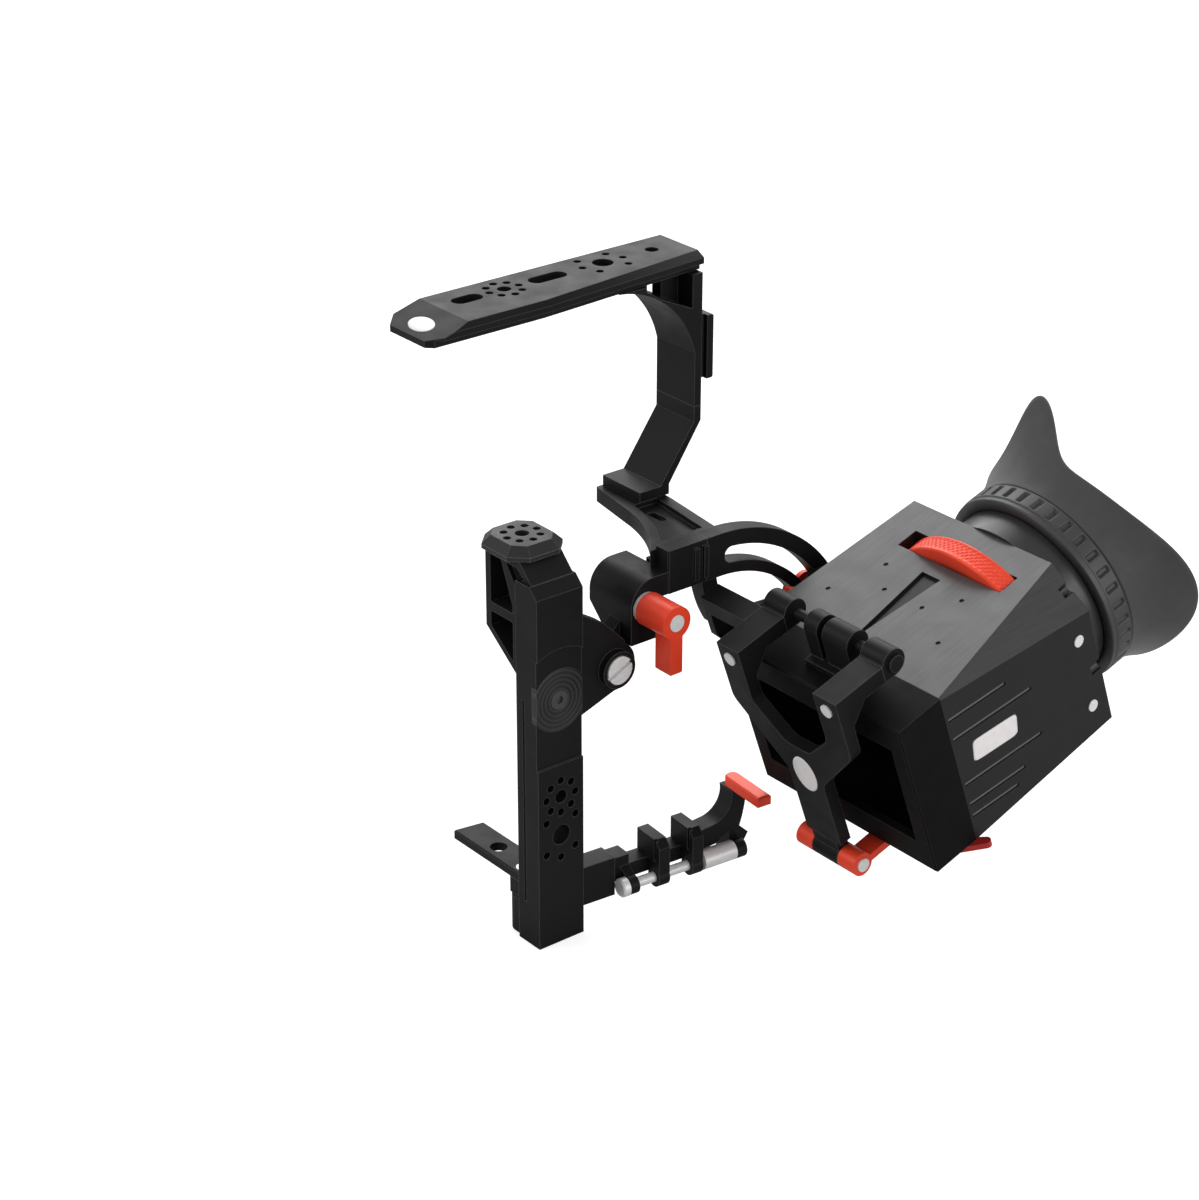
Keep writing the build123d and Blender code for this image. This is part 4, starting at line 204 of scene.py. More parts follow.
class Nodes:
    """Short hand for the node tree of one material."""

    def __init__(self, name):
        material = bpy.data.materials.new(name + FINISH_TAIL)
        material.use_nodes = True
        self.tree = material.node_tree
        self.shader = self.tree.nodes["Principled BSDF"]
        self.place = self.add("ShaderNodeTexCoord").outputs["Object"]

    def add(self, kind, **settings):
        node = self.tree.nodes.new(kind)
        for key, value in settings.items():
            setattr(node, key, value)
        return node

    def link(self, source, target):
        self.tree.links.new(source, target)

    def feed(self, socket, source):
        """Let a source set one of the shader's values over the surface."""
        self.link(source, self.shader.inputs[socket])

    def fed(self, socket):
        """What sets one of the shader's values so far."""
        return self.shader.inputs[socket].links[0].from_socket

    def fix(self, **values):
        """Set values of the shader that are the same all over; _ stands for a space."""
        for socket, value in values.items():
            self.shader.inputs[socket.replace("_", " ")].default_value = value

    def noise(self, size, detail=2.0, stretch=(1.0, 1.0, 1.0)):
        """Noise whose grains are size metres across, drawn out by stretch along X, Y and Z."""
        mapping = self.add("ShaderNodeMapping")
        mapping.inputs["Scale"].default_value = [1.0 / value for value in stretch]
        self.link(self.place, mapping.inputs["Vector"])
        noise = self.add("ShaderNodeTexNoise")
        noise.inputs["Scale"].default_value = 1.0 / size
        noise.inputs["Detail"].default_value = detail
        self.link(mapping.outputs["Vector"], noise.inputs["Vector"])
        return noise.outputs[0]

    def span(self, value, low, high, to_low, to_high):
        """The value's low..high mapped to to_low..to_high."""
        span = self.add("ShaderNodeMapRange")
        for socket, number in zip(span.inputs[1:5], (low, high, to_low, to_high)):
            socket.default_value = number
        self.link(value, span.inputs["Value"])
        return span.outputs["Result"]

    def spread(self, noise, low=0.0, high=1.0):
        """Noise spread over low..high."""
        return self.span(noise, *NOISE_BAND, low, high)

    def mix(self, factor, first, second):
        """Colour between first and second; each is a colour or a socket."""
        mix = self.add("ShaderNodeMix", data_type="RGBA")
        self.link(factor, mix.inputs[0])
        for socket, colour in ((mix.inputs[6], first), (mix.inputs[7], second)):
            if isinstance(colour, bpy.types.NodeSocket):
                self.link(colour, socket)
            else:
                socket.default_value = (*colour, 1.0)
        return mix.outputs[2]

    def tones(self, factor, colour, dark, light):
        """One colour between its dark and its light shade."""
        return self.mix(factor, shade(colour, dark), shade(colour, light))

    def bevel(self, radius):
        """The surface's normal, rounded over edges by radius metres."""
        bevel = self.add("ShaderNodeBevel", samples=4)
        bevel.inputs["Radius"].default_value = radius
        return bevel.outputs["Normal"]

    def edges(self, radius):
        """1 along sharp edges and 0 on flat faces, from how far the rounded normal leans."""
        lean = self.add("ShaderNodeVectorMath", operation="DOT_PRODUCT")
        self.link(self.bevel(radius), lean.inputs[0])
        self.link(self.add("ShaderNodeNewGeometry").outputs["Normal"], lean.inputs[1])
        return self.span(lean.outputs["Value"], *EDGE_LEAN, 0.0, 1.0)

    def along(self, vector, way):
        """How far a vector reaches along a direction."""
        reached = self.add("ShaderNodeVectorMath", operation="DOT_PRODUCT")
        self.link(vector, reached.inputs[0])
        reached.inputs[1].default_value = way
        return reached.outputs["Value"]

    def facing(self, way, lean):
        """1 on faces that look along a direction and 0 on the others.

        The normals are the world's, so this tells the faces apart as they stand at rest.
        """
        normal = self.add("ShaderNodeNewGeometry").outputs["True Normal"]
        return self.span(self.along(normal, way), *lean, 0.0, 1.0)

    def between(self, value, low, high):
        """1 where the value lies between low and high metres and 0 elsewhere."""
        middle = self.add("ShaderNodeMath", operation="COMPARE")
        self.link(value, middle.inputs[0])
        middle.inputs[1].default_value = (low + high) / 2
        middle.inputs[2].default_value = (high - low) / 2
        return middle.outputs["Value"]

    def both(self, first, second):
        """The product of two masks."""
        product = self.add("ShaderNodeMath", operation="MULTIPLY")
        self.link(first, product.inputs[0])
        self.link(second, product.inputs[1])
        return product.outputs["Value"]

    def bump(self, height, strength, depth, normal):
        """Normal with a relief of that height on top of the given normal."""
        bump = self.add("ShaderNodeBump")
        bump.inputs["Strength"].default_value = strength
        bump.inputs["Distance"].default_value = depth
        self.link(height, bump.inputs["Height"])
        self.link(normal, bump.inputs["Normal"])
        return bump.outputs["Normal"]


def anodised(name, colour, roughness, metallic, edge_wear_and_highlight, gloss=0.5):
    """Bead-blasted, dyed aluminium: a fine grain, faint clouds and lighter edges, part wear and
    part painted highlight.
    """
    nodes = Nodes(name)
    face = nodes.tones(nodes.spread(nodes.noise(24 * MM, 3.0)), colour, 0.88, 1.12)
    # Sharp edges are lightened: part wear, part painted highlight along them.
    nodes.feed("Base Color", nodes.mix(nodes.edges(0.45 * MM), face, shade(colour, edge_wear_and_highlight)))
    grain = nodes.noise(0.35 * MM)
    rough = nodes.noise(9 * MM)
    nodes.feed("Roughness", nodes.spread(rough, roughness - 0.05, roughness + 0.05))
    nodes.fix(Metallic=metallic, Specular_IOR_Level=gloss)
    nodes.feed("Normal", nodes.bump(grain, 0.25, 0.06 * MM, nodes.bevel(0.35 * MM)))
    return nodes


def brushed(name, colour, roughness, stretch, metallic):
    """Bare turned or drawn steel: long fine scratches along one direction, and lighter edges,
    part wear and part painted highlight.
    """
    nodes = Nodes(name)
    scratches = nodes.noise(0.25 * MM, 3.0, stretch)
    face = nodes.tones(nodes.spread(scratches), colour, 0.86, 1.08)
    # Sharp edges are lightened: part wear, part painted highlight.
    nodes.feed("Base Color", nodes.mix(nodes.edges(0.3 * MM), face, shade(colour, 1.15)))
    nodes.feed("Roughness", nodes.spread(scratches, roughness - 0.06, roughness + 0.08))
    nodes.fix(Metallic=metallic)
    nodes.feed("Normal", nodes.bump(scratches, 0.2, 0.04 * MM, nodes.bevel(0.25 * MM)))


def turned(name, colour, roughness, centre):
    """Faced aluminium: fine rings about an axis along X through the centre, and lighter edges,
    part wear and part painted highlight.
    """
    nodes = anodised(name, colour, roughness, 0.5, 5.0)
    mapping = nodes.add("ShaderNodeMapping", vector_type="POINT")
    mapping.inputs["Location"].default_value = -centre
    nodes.link(nodes.place, mapping.inputs["Vector"])
    rings = nodes.add("ShaderNodeTexWave", wave_type="RINGS", rings_direction="X")
    rings.inputs["Scale"].default_value = RING_SCALE
    rings.inputs["Distortion"].default_value = 0.3
    nodes.link(mapping.outputs["Vector"], rings.inputs["Vector"])
    wave = rings.outputs["Fac"]
    nodes.feed("Normal", nodes.bump(wave, 0.8, 0.12 * MM, nodes.fed("Normal")))
    crests = nodes.span(wave, 0.4, 0.9, 0.0, 1.0)
    nodes.feed("Base Color", nodes.mix(crests, nodes.fed("Base Color"), shade(colour, 2.0)))


def shell_finish_with_painted_light(name, side, top, roughness):
    """The loupe's shell: a brushed top made lighter partly as painted light, a bevel in painted
    shade between top and sides, blasted dark sides, painted shade in the top's recesses and pale
    groove floors as painted highlight.
    """
    nodes = anodised(name, side, roughness, 0.3, 3.2, 0.3)
    streaks = nodes.spread(nodes.noise(0.6 * MM, 3.0, (1.0, 40.0, 14.0)))
    colour = nodes.fed("Base Color")
    bevel_way = (RIGHT + UP) / math.sqrt(2.0)
    # Painted light by facing: faces that look up take the top colour, partly the brushed plate's
    # own tone and partly painted light, and the bevel takes a darker copy of it as painted
    # shade.
    for way, lean, tone in ((bevel_way, BEVEL_LEAN, shade(top, 0.62)), (UP, FACE_LEAN, top)):
        faces = nodes.facing(way, lean)
        colour = nodes.mix(faces, colour, nodes.tones(streaks, tone, 0.9, 1.1))

    # Painted shade in the recesses of the top plate: faces that look up, but lie below it, are
    # darkened.
    points = node_points("loupe_shell")
    top_height = (points @ UP).max()
    height = nodes.along(nodes.place, UP)
    recess_shade = nodes.span(height, top_height - 0.9 * MM, top_height - 0.4 * MM, 1.0, 0.0)
    colour = nodes.mix(nodes.both(recess_shade, faces), colour, shade(side, 0.4))

    # Painted highlight on the floors of the side's grooves: faces that look out, just under the
    # side, are made pale.
    side_way = plate_ways("label_plate", RIGHT)[2]
    side_face = (points @ side_way).max()
    outward = nodes.along(nodes.place, side_way)
    highlight_groove = nodes.between(outward, side_face - 1.0 * MM, side_face - 0.2 * MM)
    floor = nodes.both(highlight_groove, nodes.facing(side_way, FACE_LEAN))
    nodes.feed("Base Color", nodes.mix(floor, colour, shade(top, 1.8)))


def rubber(name, colour):
    """Soft moulded rubber: matt, with a fine pebble and a dusty sheen."""
    nodes = Nodes(name)
    dust = nodes.span(nodes.noise(30 * MM, 3.0), 0.35, 0.65, 0.0, 1.0)
    nodes.feed("Base Color", nodes.tones(dust, colour, 0.85, 1.2))
    nodes.feed("Roughness", nodes.spread(nodes.noise(6 * MM), 0.62, 0.74))
    nodes.fix(Sheen_Weight=0.3, Sheen_Roughness=0.5)
    pebble = nodes.noise(0.5 * MM)
    nodes.feed("Normal", nodes.bump(pebble, 0.3, 0.08 * MM, nodes.bevel(0.3 * MM)))


def plate_finish(name, colour):
    """A bare plate: satin lacquer over a pale ground with the faintest mottling."""
    nodes = Nodes(name)
    mottle = nodes.spread(nodes.noise(3 * MM, 3.0))
    nodes.feed("Base Color", nodes.tones(mottle, colour, 0.95, 1.03))
    nodes.feed("Roughness", nodes.spread(nodes.noise(2 * MM), 0.3, 0.42))
    nodes.fix(Coat_Weight=0.4, Coat_Roughness=0.12)
    ripple = nodes.noise(0.8 * MM)
    nodes.feed("Normal", nodes.bump(ripple, 0.1, 0.03 * MM, nodes.bevel(0.2 * MM)))


def glass_finish(name, colour):
    """Coated lens glass with a trace of dust in its roughness."""
    nodes = Nodes(name)
    nodes.feed("Base Color", nodes.tones(nodes.spread(nodes.noise(20 * MM)), colour, 0.97, 1.0))
    nodes.feed("Roughness", nodes.span(nodes.noise(1.5 * MM), 0.4, 0.8, 0.01, 0.05))
    nodes.fix(Transmission_Weight=1.0, IOR=1.52, Coat_Weight=0.3)
    nodes.fix(Coat_Tint=(0.7, 0.6, 1.0, 1.0))


# --- sizes and colours that a user would change ----------------------------------------------
def colour_property(name, description, default):
    return FloatVectorProperty(
        name=name, description=description, default=default, subtype="COLOR", min=0.0, max=1.0
    )


def length_property(name, description, default):
    return FloatProperty(name=name, description=description, default=default, unit="LENGTH")


class CageColours(PropertyGroup):
    black: colour_property("Black", "Dyed black aluminium of the cage", (0.0085, 0.0085, 0.0092))
    grey: colour_property("Grey", "Lighter face of the post's cap", (0.028, 0.028, 0.029))
    # The top's tone is partly the brushed plate's own and partly painted light, as it goes on
    # the faces that look up.
    shell_top: colour_property("Shell top", "Brushed plate on the loupe", (0.1, 0.1, 0.103))
    shell_side: colour_property("Shell side", "Sides of the loupe", (0.014, 0.014, 0.0155))
    red: colour_property("Red", "Levers, knob and focus wheel", (0.95, 0.065, 0.024))
    dark_red: colour_property("Dark red", "Release lever", (0.5, 0.03, 0.025))
    steel: colour_property("Steel", "Screws, rod and sleeve", (0.86, 0.86, 0.86))
    rubber: colour_property("Rubber", "Eyecup", (0.037, 0.037, 0.037))
    ring: colour_property("Rings", "Eyepiece and diopter rings", (0.045, 0.045, 0.047))
    plate: colour_property("Plates", "Bare plates", (0.88, 0.84, 0.84))


class EyecupSize(PropertyGroup):
    wall: length_property("Wall", "Thickness of the rubber", 2.0 * MM)
    lip: length_property("Lip", "Roundness of the rim", 1.0 * MM)
    horn_angle: FloatProperty(
        name="Horn angle", description="Where the horn stands", default=-math.radians(20.0),
        subtype="ANGLE",
    )
    horn_width: FloatProperty(
        name="Horn width", description="Half width of the horn", default=math.radians(16.0),
        subtype="ANGLE",
    )
    lobe_angle: FloatProperty(
        name="Lobe angle", description="Angle from the horn to each lobe",
        default=math.radians(110.0), subtype="ANGLE",
    )
    lobe_width: FloatProperty(
        name="Lobe width", description="Half width of a lobe", default=math.radians(38.0),
        subtype="ANGLE",
    )
    low: length_property("Low rim", "Depth of the rim between horn and lobes", 12.6 * MM)
    lobe: length_property("Lobe rise", "Extra depth of a lobe", 10.0 * MM)
    turns: IntProperty(name="Steps round", description="Points round the cup", default=256)


class RingSize(PropertyGroup):
    teeth: IntProperty(name="Knurls", description="Knurls round the focus wheel", default=110)
    knurl: length_property("Knurl depth", "Depth of the wheel's knurling", 0.55 * MM)
    chamfer: length_property("Chamfer", "Chamfer of the wheel's rim", 0.7 * MM)
    ribs: IntProperty(name="Grip slots", description="Slots round the diopter ring", default=36)
    slot: length_property("Slot depth", "Depth of a grip slot", 1.3 * MM)
    dome: length_property("Plate dome", "Rise of a bare plate's middle", 0.25 * MM)


class StageLight(PropertyGroup):
    world: FloatProperty(name="World", description="Even light from all round", default=0.5)
    top: FloatProperty(name="Top", description="Large lamp above", default=25.0, unit="POWER")
    key: FloatProperty(name="Key", description="Lamp on the left", default=10.0, unit="POWER")
    fill: FloatProperty(name="Fill", description="Lamp on the right", default=9.0, unit="POWER")
    floor: FloatProperty(name="Floor", description="Tone of the floor", default=0.5)


# --- finishes of the CAD nodes ---------------------------------------------------------------
class CAGE_OT_finishes(Operator):
    """Make the finishes and give each CAD node its own"""

    bl_idname = "cage.finishes"
    bl_label = "Finish CAD Nodes"

    def execute(self, context):
        tones = context.scene.cage_colours
        # The fifth number of each finish lightens its sharp edges, part wear and part painted
        # highlight.
        for name, colour, *look in (
            ("black_anodised", tones.black, 0.46, 0.0, 14.0, 0.14),
            ("bezel_black", shade(tones.black, 0.4), 0.55, 0.0, 18.0, 0.08),
            ("grey_anodised", tones.grey, 0.45, 0.2, 8.0, 0.25),
            ("red_anodised", tones.red, 0.38, 0.1, 1.25, 0.4),
            ("dark_red", tones.dark_red, 0.36, 0.4, 1.6),
            ("barrel_black", tones.ring, 0.33, 0.4, 3.0),
            ("ring_plastic", tones.ring, 0.45, 0.1, 3.0),
        ):
            anodised(name, colour, *look)
        shell_finish_with_painted_light("brushed_shell", tones.shell_side, tones.shell_top, 0.4)
        brushed("steel", tones.steel, 0.42, (1.0, 12.0, 1.0), 0.25)
        brushed("black_steel", shade(tones.steel, 0.1), 0.4, (1.0, 1.0, 6.0), 0.6)
        disc = node_points("rosette_disc")
        turned("turned_black", shade(tones.black, 2.8), 0.32, (disc.min(0) + disc.max(0)) / 2)
        plate_finish("bare_plate", tones.plate)
        rubber("eyecup_rubber", tones.rubber)
        glass_finish("lens_glass", (0.9, 0.94, 0.92))
        for finish, nodes in NODE_FINISH.items():
            for node in nodes:
                for slot in frame["nodes"][node].material_slots:
                    slot.material = bpy.data.materials[finish + FINISH_TAIL]
        return {"FINISHED"}


# --- eyecup ----------------------------------------------------------------------------------
WALL_STEPS = 26
LIP_STEPS = 7
FLARE_POWER = 1.7


class CAGE_OT_eyecup(Operator):
    """Make the rubber eyecup with its horn and lobes"""

    bl_idname = "cage.eyecup"
    bl_label = "Eyecup"

    def execute(self, context):
        """Depth of the rim = low + a bell at the horn + a bell at each lobe.

        A point at share t of the way to the rim has depth t times the rim's, and the radius
        root + flare * s ** 1.7, where s is its depth over the cup's whole length, so that the
        wall opens like a trumpet. The profile runs up the outside, round the lip and back down
        the inside, one wall further in.
        """
        size = context.scene.cage_eyecup
        start, end, root, rim = reach("eyecup")
        length = end - start - size.lip
        flare = rim - root - size.wall
        angle = np.linspace(-math.pi, math.pi, size.turns, endpoint=False)
        from_horn = np.angle(np.exp(1j * (angle - size.horn_angle)))
        horn = np.exp(-((from_horn / size.horn_width) ** 2))
        lobe = np.exp(-(((np.abs(from_horn) - size.lobe_angle) / size.lobe_width) ** 2))
        edge = size.low + size.lobe * lobe + (length - size.low) * horn
        edge = np.minimum(edge, length)
        share = np.linspace(0.0, 1.0, WALL_STEPS)
        wall, lip = np.ones(WALL_STEPS), np.ones(LIP_STEPS)
        turn = np.linspace(0.0, math.pi, LIP_STEPS + 2)[1:-1]
        profile = np.concatenate((share, lip, share[::-1]))
        outward = np.concatenate((wall, 0.5 + 0.5 * np.cos(turn), 0 * wall))
        over = np.concatenate((0 * wall, np.sin(turn), 0 * wall))
        depth = profile[:, None] * edge[None, :]
        radius = root + flare * np.clip(depth / length, 0.0, 1.0) ** FLARE_POWER
        radius = radius + size.wall * outward[:, None]
        depth = start + depth + size.lip * over[:, None]
        piece = round_piece("eyecup_rubber", angle, depth, radius)
        place(piece, "eyepiece", "rubber", "eyecup_rubber", "eyecup")
        return {"FINISHED"}


# --- focus wheel and diopter ring ------------------------------------------------------------
POINTS_A_KNURL = 8
KNURL_ROWS = 15
KNURL_FADE = 6.0

POINTS_A_SLOT = 20
GRIP_ROWS = 29
GRIP_EDGE = 0.5 * MM
# The slots: where in the wave they lie, and from where to where along the grip.
SLOT_LEVEL, SLOT_SHOULDER = 0.7, 6.0
SLOT_START, SLOT_END, SLOT_FADE = 0.3, 0.93, 14
# The step at the front of the grip: its depth, where along the grip it ends, and its slope.
STEP_DEPTH, STEP_END, STEP_FADE = 0.35 * MM, 0.22, 20
# Room left between the ring and the eyecup on it.
CUP_GAP = 0.2 * MM


class CAGE_OT_focus_wheel(Operator):
    """Make the knurled focus wheel"""

    bl_idname = "cage.focus_wheel"
    bl_label = "Focus Wheel"

    def execute(self, context):
        """A ring whose rim is cut by two crossing sets of slanted grooves.

        The rim's radius is lowered by the knurl depth times the larger of two triangle waves,
        one leaning forwards and one backwards, fading to nothing at the chamfers.
        """
        size = context.scene.cage_rings
        front, rear, bore, rim = reach("focus_wheel")
        angle = full_turn(size.teeth * POINTS_A_KNURL)
        across = np.linspace(0.0, 1.0, KNURL_ROWS)
        wide = rear - front - 2 * size.chamfer
        depth = np.concatenate(
            ([front, front], front + size.chamfer + wide * across, [rear, rear])
        )
        flat = np.concatenate(
            ([bore, rim - size.chamfer], np.full(KNURL_ROWS, rim), [rim - size.chamfer, bore])
        )
        lean = wide / (math.pi * rim / size.teeth)
        phase = angle[None, :] * size.teeth / math.pi
        shift = (across * lean)[:, None]
        waves = [np.abs(((phase + way * shift) % 2.0) - 1.0) for way in (-1.0, 1.0)]
        cut = np.zeros((len(depth), len(angle)))
        fade = np.minimum(1.0, KNURL_FADE * np.minimum(across, 1.0 - across))[:, None]
        cut[2:-2] = size.knurl * np.maximum(*waves) * fade
        piece = round_piece("focus_wheel_knurled", angle, depth[:, None], flat[:, None] - cut)
        place(piece, "focus_wheel", "red_anodised", "red_anodised", "focus_wheel")
        return {"FINISHED"}


class CAGE_OT_diopter_ring(Operator):
    """Make the diopter ring with its grip slots"""

    bl_idname = "cage.diopter_ring"
    bl_label = "Diopter Ring"

    def execute(self, context):
        """A stepped ring whose grip is cut by slots.

        The grip's radius is lowered by the slot depth where a raised cosine round the ring
        passes the slot level, between the slots' start and end along the grip, with soft
        shoulders. A shallow step lowers the front of the grip all round.
        """
        size = context.scene.cage_rings
        front, rear, bore, rim = reach("diopter_ring")
        cup_start, _, cup_root, _ = reach("eyecup")
        collar = cup_root - CUP_GAP
        grip_end = cup_start - CUP_GAP
        angle = full_turn(size.ribs * POINTS_A_SLOT)
        across = np.linspace(0.0, 1.0, GRIP_ROWS)
        wide = grip_end - front - 2 * GRIP_EDGE
        depth = np.concatenate(
            ([front, front], front + GRIP_EDGE + wide * across, [grip_end, grip_end, rear, rear])
        )
        flat = np.concatenate(
            (
                [bore, rim - GRIP_EDGE],
                np.full(GRIP_ROWS, rim),
                [rim - GRIP_EDGE, collar, collar, bore],
            )
        )
        wave = 0.5 + 0.5 * np.cos(angle * size.ribs)
        slot = ramp(wave - SLOT_LEVEL, SLOT_SHOULDER)
        span = ramp(across - SLOT_START, SLOT_FADE) * ramp(SLOT_END - across, SLOT_FADE)
        step = STEP_DEPTH * ramp(STEP_END - across, STEP_FADE)
        cut = np.zeros((len(depth), len(angle)))
        cut[2 : 2 + GRIP_ROWS] = size.slot * span[:, None] * slot[None, :] + step[:, None]
        piece = round_piece("diopter_ring_grip", angle, depth[:, None], flat[:, None] - cut)
        place(piece, "eyepiece", "ring_plastic", "ring_plastic", "diopter_ring")
        return {"FINISHED"}


# --- bare plates -----------------------------------------------------------------------------
PLATE_POINTS = 96
# Shares of the way out of the rings of points: over the face, then down the edge and back under.
FACE_SHARES = np.array([0.0, 0.3, 0.55, 0.75, 0.88, 0.95])
UNDER_SHARES = (1.0, 1.0, 0.5, 0.0)
# The edge of the face, as a share of the crown's height.
EDGE_HEIGHT = 0.7


def domed_plate(name, node, outward, power, dome):
    """A plate with a slightly domed face over the node's own outline.

    The plate's directions are those in which the node's points spread most and least. A point
    at share s of the way out and an angle a lies at s times the outline, whose two halves are
    raised to 2 / power as in a superellipse, and the face rises by dome * (1 - s ** 2).
    """
    points = node_points(node)
    long_way, short_way, normal = ways = plate_ways(node, outward)
    half = [np.ptp(points @ way) / 2 for way in ways]
    middle = sum(way * ((points @ way).max() + (points @ way).min()) / 2 for way in ways)
    angle = full_turn(PLATE_POINTS)
    ellipse = [
        np.sign(side) * np.abs(side) ** (2.0 / power) for side in (np.cos(angle), np.sin(angle))
    ]
    share = np.concatenate((FACE_SHARES, UNDER_SHARES))
    crown = half[2] - dome
    under = (crown * EDGE_HEIGHT, -half[2], -half[2], -half[2])
    height = np.concatenate((crown + dome * (1 - FACE_SHARES**2), under))
    grid = (
        middle
        + (share[:, None] * half[0] * ellipse[0])[..., None] * long_way
        + (share[:, None] * half[1] * ellipse[1])[..., None] * short_way
        + height[:, None, None] * normal
    )
    return surface(name, grid)


class CAGE_OT_plates(Operator):
    """Make the bare oval and rectangular plates"""

    bl_idname = "cage.plates"
    bl_label = "Bare Plates"

    def execute(self, context):
        dome = context.scene.cage_rings.dome
        plates = (
            ("rail_plate_oval", "rail_badge", (0, -0.2, 1), 2.0, "cage"),
            ("frame_plate_oval", "frame_badge", -OPTICAL, 2.0, "finder_frame"),
            ("side_plate", "label_plate", RIGHT, 8.0, "loupe"),
        )
        for name, node, outward, power, body in plates:
            piece = domed_plate(name, node, np.array(outward, float), power, dome)
            place(piece, body, "name_plate", "bare_plate", node)
        return {"FINISHED"}


# --- stage -----------------------------------------------------------------------------------
VIEW_TURN = math.radians(51.38)
VIEW_RISE = math.radians(25.76)
CAMERA_PLACE = (0.7869, -0.5808, 0.5732)
CAMERA_LENS = 91.35
SENSOR_WIDTH = 36.0
CAMERA_CLIP = (0.05, 50.0)

# Each lamp's name, which is also the name of its power, and its place and size in metres.
LAMPS = (
    ("top", (-1.1, 1.05, 1.25), 1.6),
    ("key", (-0.6, -1.3, 0.9), 1.0),
    ("fill", (1.5, 0.4, 0.5), 1.0),
)
FLOOR_SIZE = 8.0
FLOOR_ROUGHNESS = 0.9
# Glow of the floor that only the camera sees, which makes it pale.
FLOOR_GLOW = 0.75
WHITE = (1.0, 1.0, 1.0, 1.0)


def standing(location, side, back):
    """A matrix at a location, from the directions of its X and Z."""
    turned_ways = np.column_stack((side, np.cross(back, side), back))
    return Matrix([[*row, value] for row, value in zip(turned_ways, location)] + [[0, 0, 0, 1]])


def area_lamp(name, location, size, power):
    """A square softbox whose -Z looks at the middle of the object."""
    data = bpy.data.lights.new(name, "AREA")
    data.shape = "SQUARE"
    data.size = size
    data.energy = power
    back = np.array(location, float) - LAMP_AIM
    back /= np.linalg.norm(back)
    side = np.cross((0.0, 0.0, 1.0), back)
    side /= np.linalg.norm(side)
    lamp = bpy.data.objects.new(name, data)
    lamp.matrix_world = standing(location, side, back)
    bpy.context.scene.collection.objects.link(lamp)


def camera_ray(tree, operation):
    """Light Path and a Math node that takes its camera ray first."""
    path = tree.nodes.new("ShaderNodeLightPath")
    seen = tree.nodes.new("ShaderNodeMath")
    seen.operation = operation
    tree.links.new(path.outputs["Is Camera Ray"], seen.inputs[0])
    return path, seen


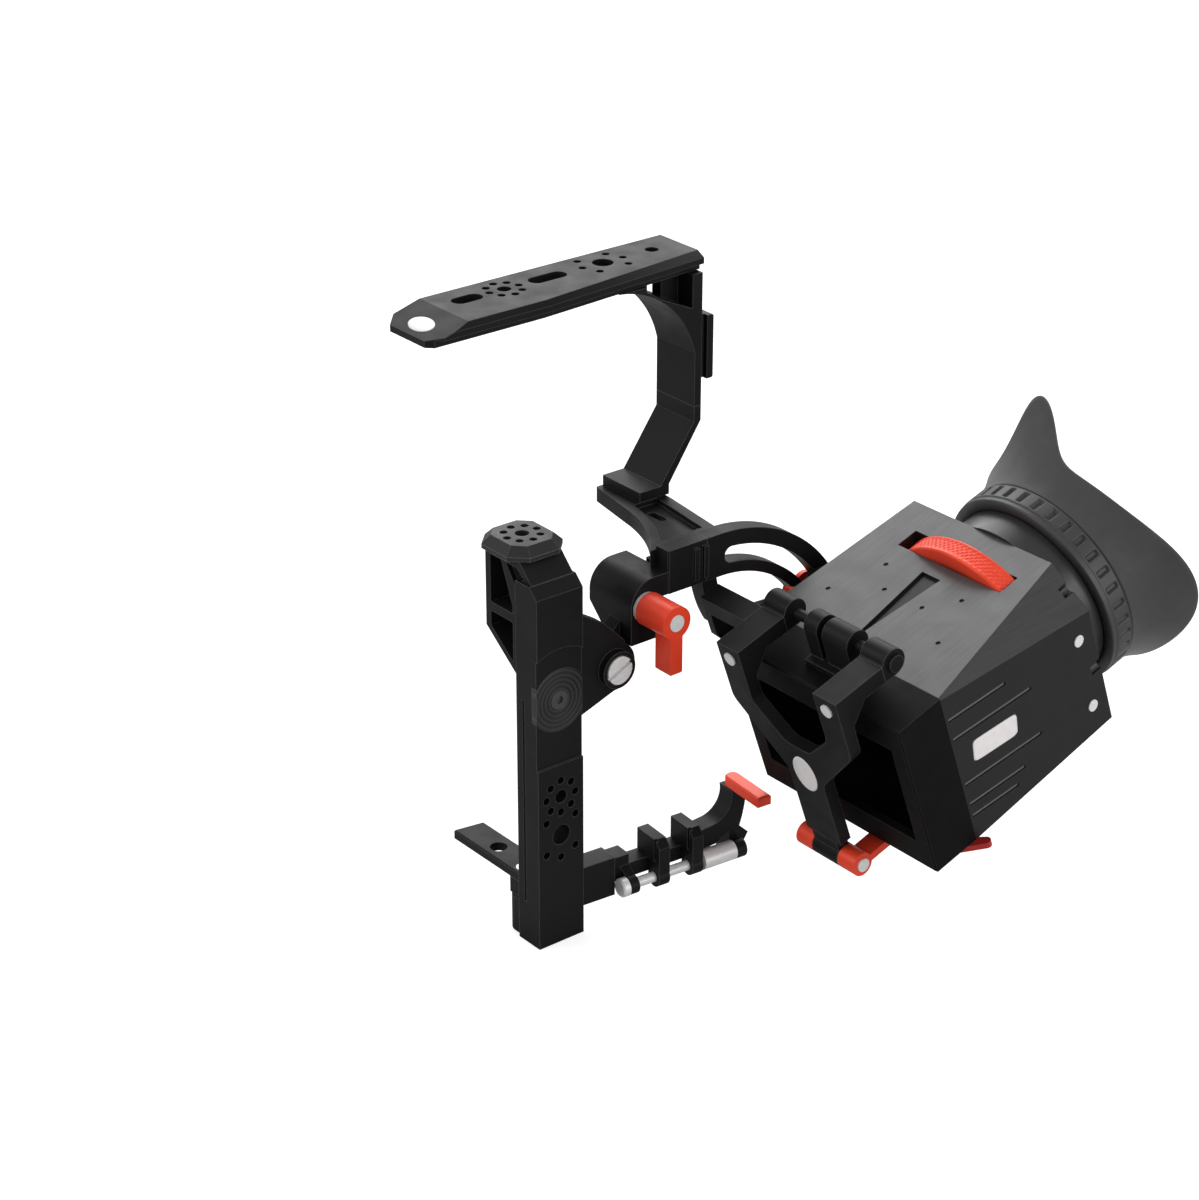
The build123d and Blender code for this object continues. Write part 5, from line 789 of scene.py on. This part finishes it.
class CAGE_OT_stage(Operator):
    """Make the camera, the pale floor, the plain light and the white background"""

    bl_idname = "cage.stage"
    bl_label = "Studio"

    def execute(self, context):
        scene = context.scene
        light = scene.cage_stage
        data = bpy.data.cameras.new("view")
        data.sensor_width = SENSOR_WIDTH
        data.lens = CAMERA_LENS
        data.clip_start, data.clip_end = CAMERA_CLIP
        view = bpy.data.objects.new("view", data)
        side = np.array((math.cos(VIEW_TURN), math.sin(VIEW_TURN), 0.0))
        back = np.array(
            (
                math.sin(VIEW_TURN) * math.cos(VIEW_RISE),
                -math.cos(VIEW_TURN) * math.cos(VIEW_RISE),
                math.sin(VIEW_RISE),
            )
        )
        view.matrix_world = standing(CAMERA_PLACE, side, back)
        scene.collection.objects.link(view)
        scene.camera = view

        for name, location, width in LAMPS:
            area_lamp(name + "_lamp", location, width, getattr(light, name))

        floor_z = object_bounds()[0][2]
        bpy.ops.mesh.primitive_plane_add(size=FLOOR_SIZE, location=(0.0, 0.0, 0.0))
        floor = context.active_object
        floor.name = "floor"
        floor.data.transform(Matrix.Translation((0.0, 0.0, floor_z)))
        paint = bpy.data.materials.new("floor_white")
        paint.use_nodes = True
        tree = paint.node_tree
        shader = tree.nodes["Principled BSDF"]
        shader.inputs["Base Color"].default_value = (light.floor, light.floor, light.floor, 1.0)
        shader.inputs["Roughness"].default_value = FLOOR_ROUGHNESS
        shader.inputs["Emission Color"].default_value = WHITE
        _, seen = camera_ray(tree, "MULTIPLY")
        seen.inputs[1].default_value = FLOOR_GLOW
        tree.links.new(seen.outputs[0], shader.inputs["Emission Strength"])
        floor.data.materials.append(paint)
        floor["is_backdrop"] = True

        world = bpy.data.worlds.new("studio")
        world.use_nodes = True
        scene.world = world
        tree = world.node_tree
        sky = tree.nodes["Background"]
        sky.inputs["Color"].default_value = WHITE
        path, seen = camera_ray(tree, "MAXIMUM")
        tree.links.new(path.outputs["Is Transmission Ray"], seen.inputs[1])
        level = tree.nodes.new("ShaderNodeMapRange")
        level.inputs["To Min"].default_value = light.world
        level.inputs["To Max"].default_value = 1.0
        tree.links.new(seen.outputs[0], level.inputs["Value"])
        tree.links.new(level.outputs["Result"], sky.inputs["Strength"])

        scene.view_settings.view_transform = "Standard"
        return {"FINISHED"}


# --- add-on ----------------------------------------------------------------------------------
class CAGE_PT_panel(Panel):
    """Lists the steps that dress the cage"""

    bl_idname = "CAGE_PT_panel"
    bl_label = "Camera Cage"
    bl_space_type = "VIEW_3D"
    bl_region_type = "UI"
    bl_category = "Camera Cage"

    def draw(self, context):
        for operator in OPERATORS:
            self.layout.operator(operator.bl_idname)


GROUPS = {
    "cage_colours": CageColours,
    "cage_eyecup": EyecupSize,
    "cage_rings": RingSize,
    "cage_stage": StageLight,
}
OPERATORS = (
    CAGE_OT_stage,
    CAGE_OT_finishes,
    CAGE_OT_eyecup,
    CAGE_OT_focus_wheel,
    CAGE_OT_diopter_ring,
    CAGE_OT_plates,
)
KINDS = (*GROUPS.values(), *OPERATORS, CAGE_PT_panel)


def register():
    for kind in KINDS:
        bpy.utils.register_class(kind)
    for name, group in GROUPS.items():
        setattr(bpy.types.Scene, name, PointerProperty(type=group))


def unregister():
    for name in GROUPS:
        delattr(bpy.types.Scene, name)
    for kind in reversed(KINDS):
        bpy.utils.unregister_class(kind)


def main():
    register()
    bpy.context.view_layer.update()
    bpy.ops.cage.stage()
    bpy.ops.cage.finishes()
    bpy.ops.cage.eyecup()
    bpy.ops.cage.focus_wheel()
    bpy.ops.cage.diopter_ring()
    bpy.ops.cage.plates()


if __name__ == "__main__":
    main()
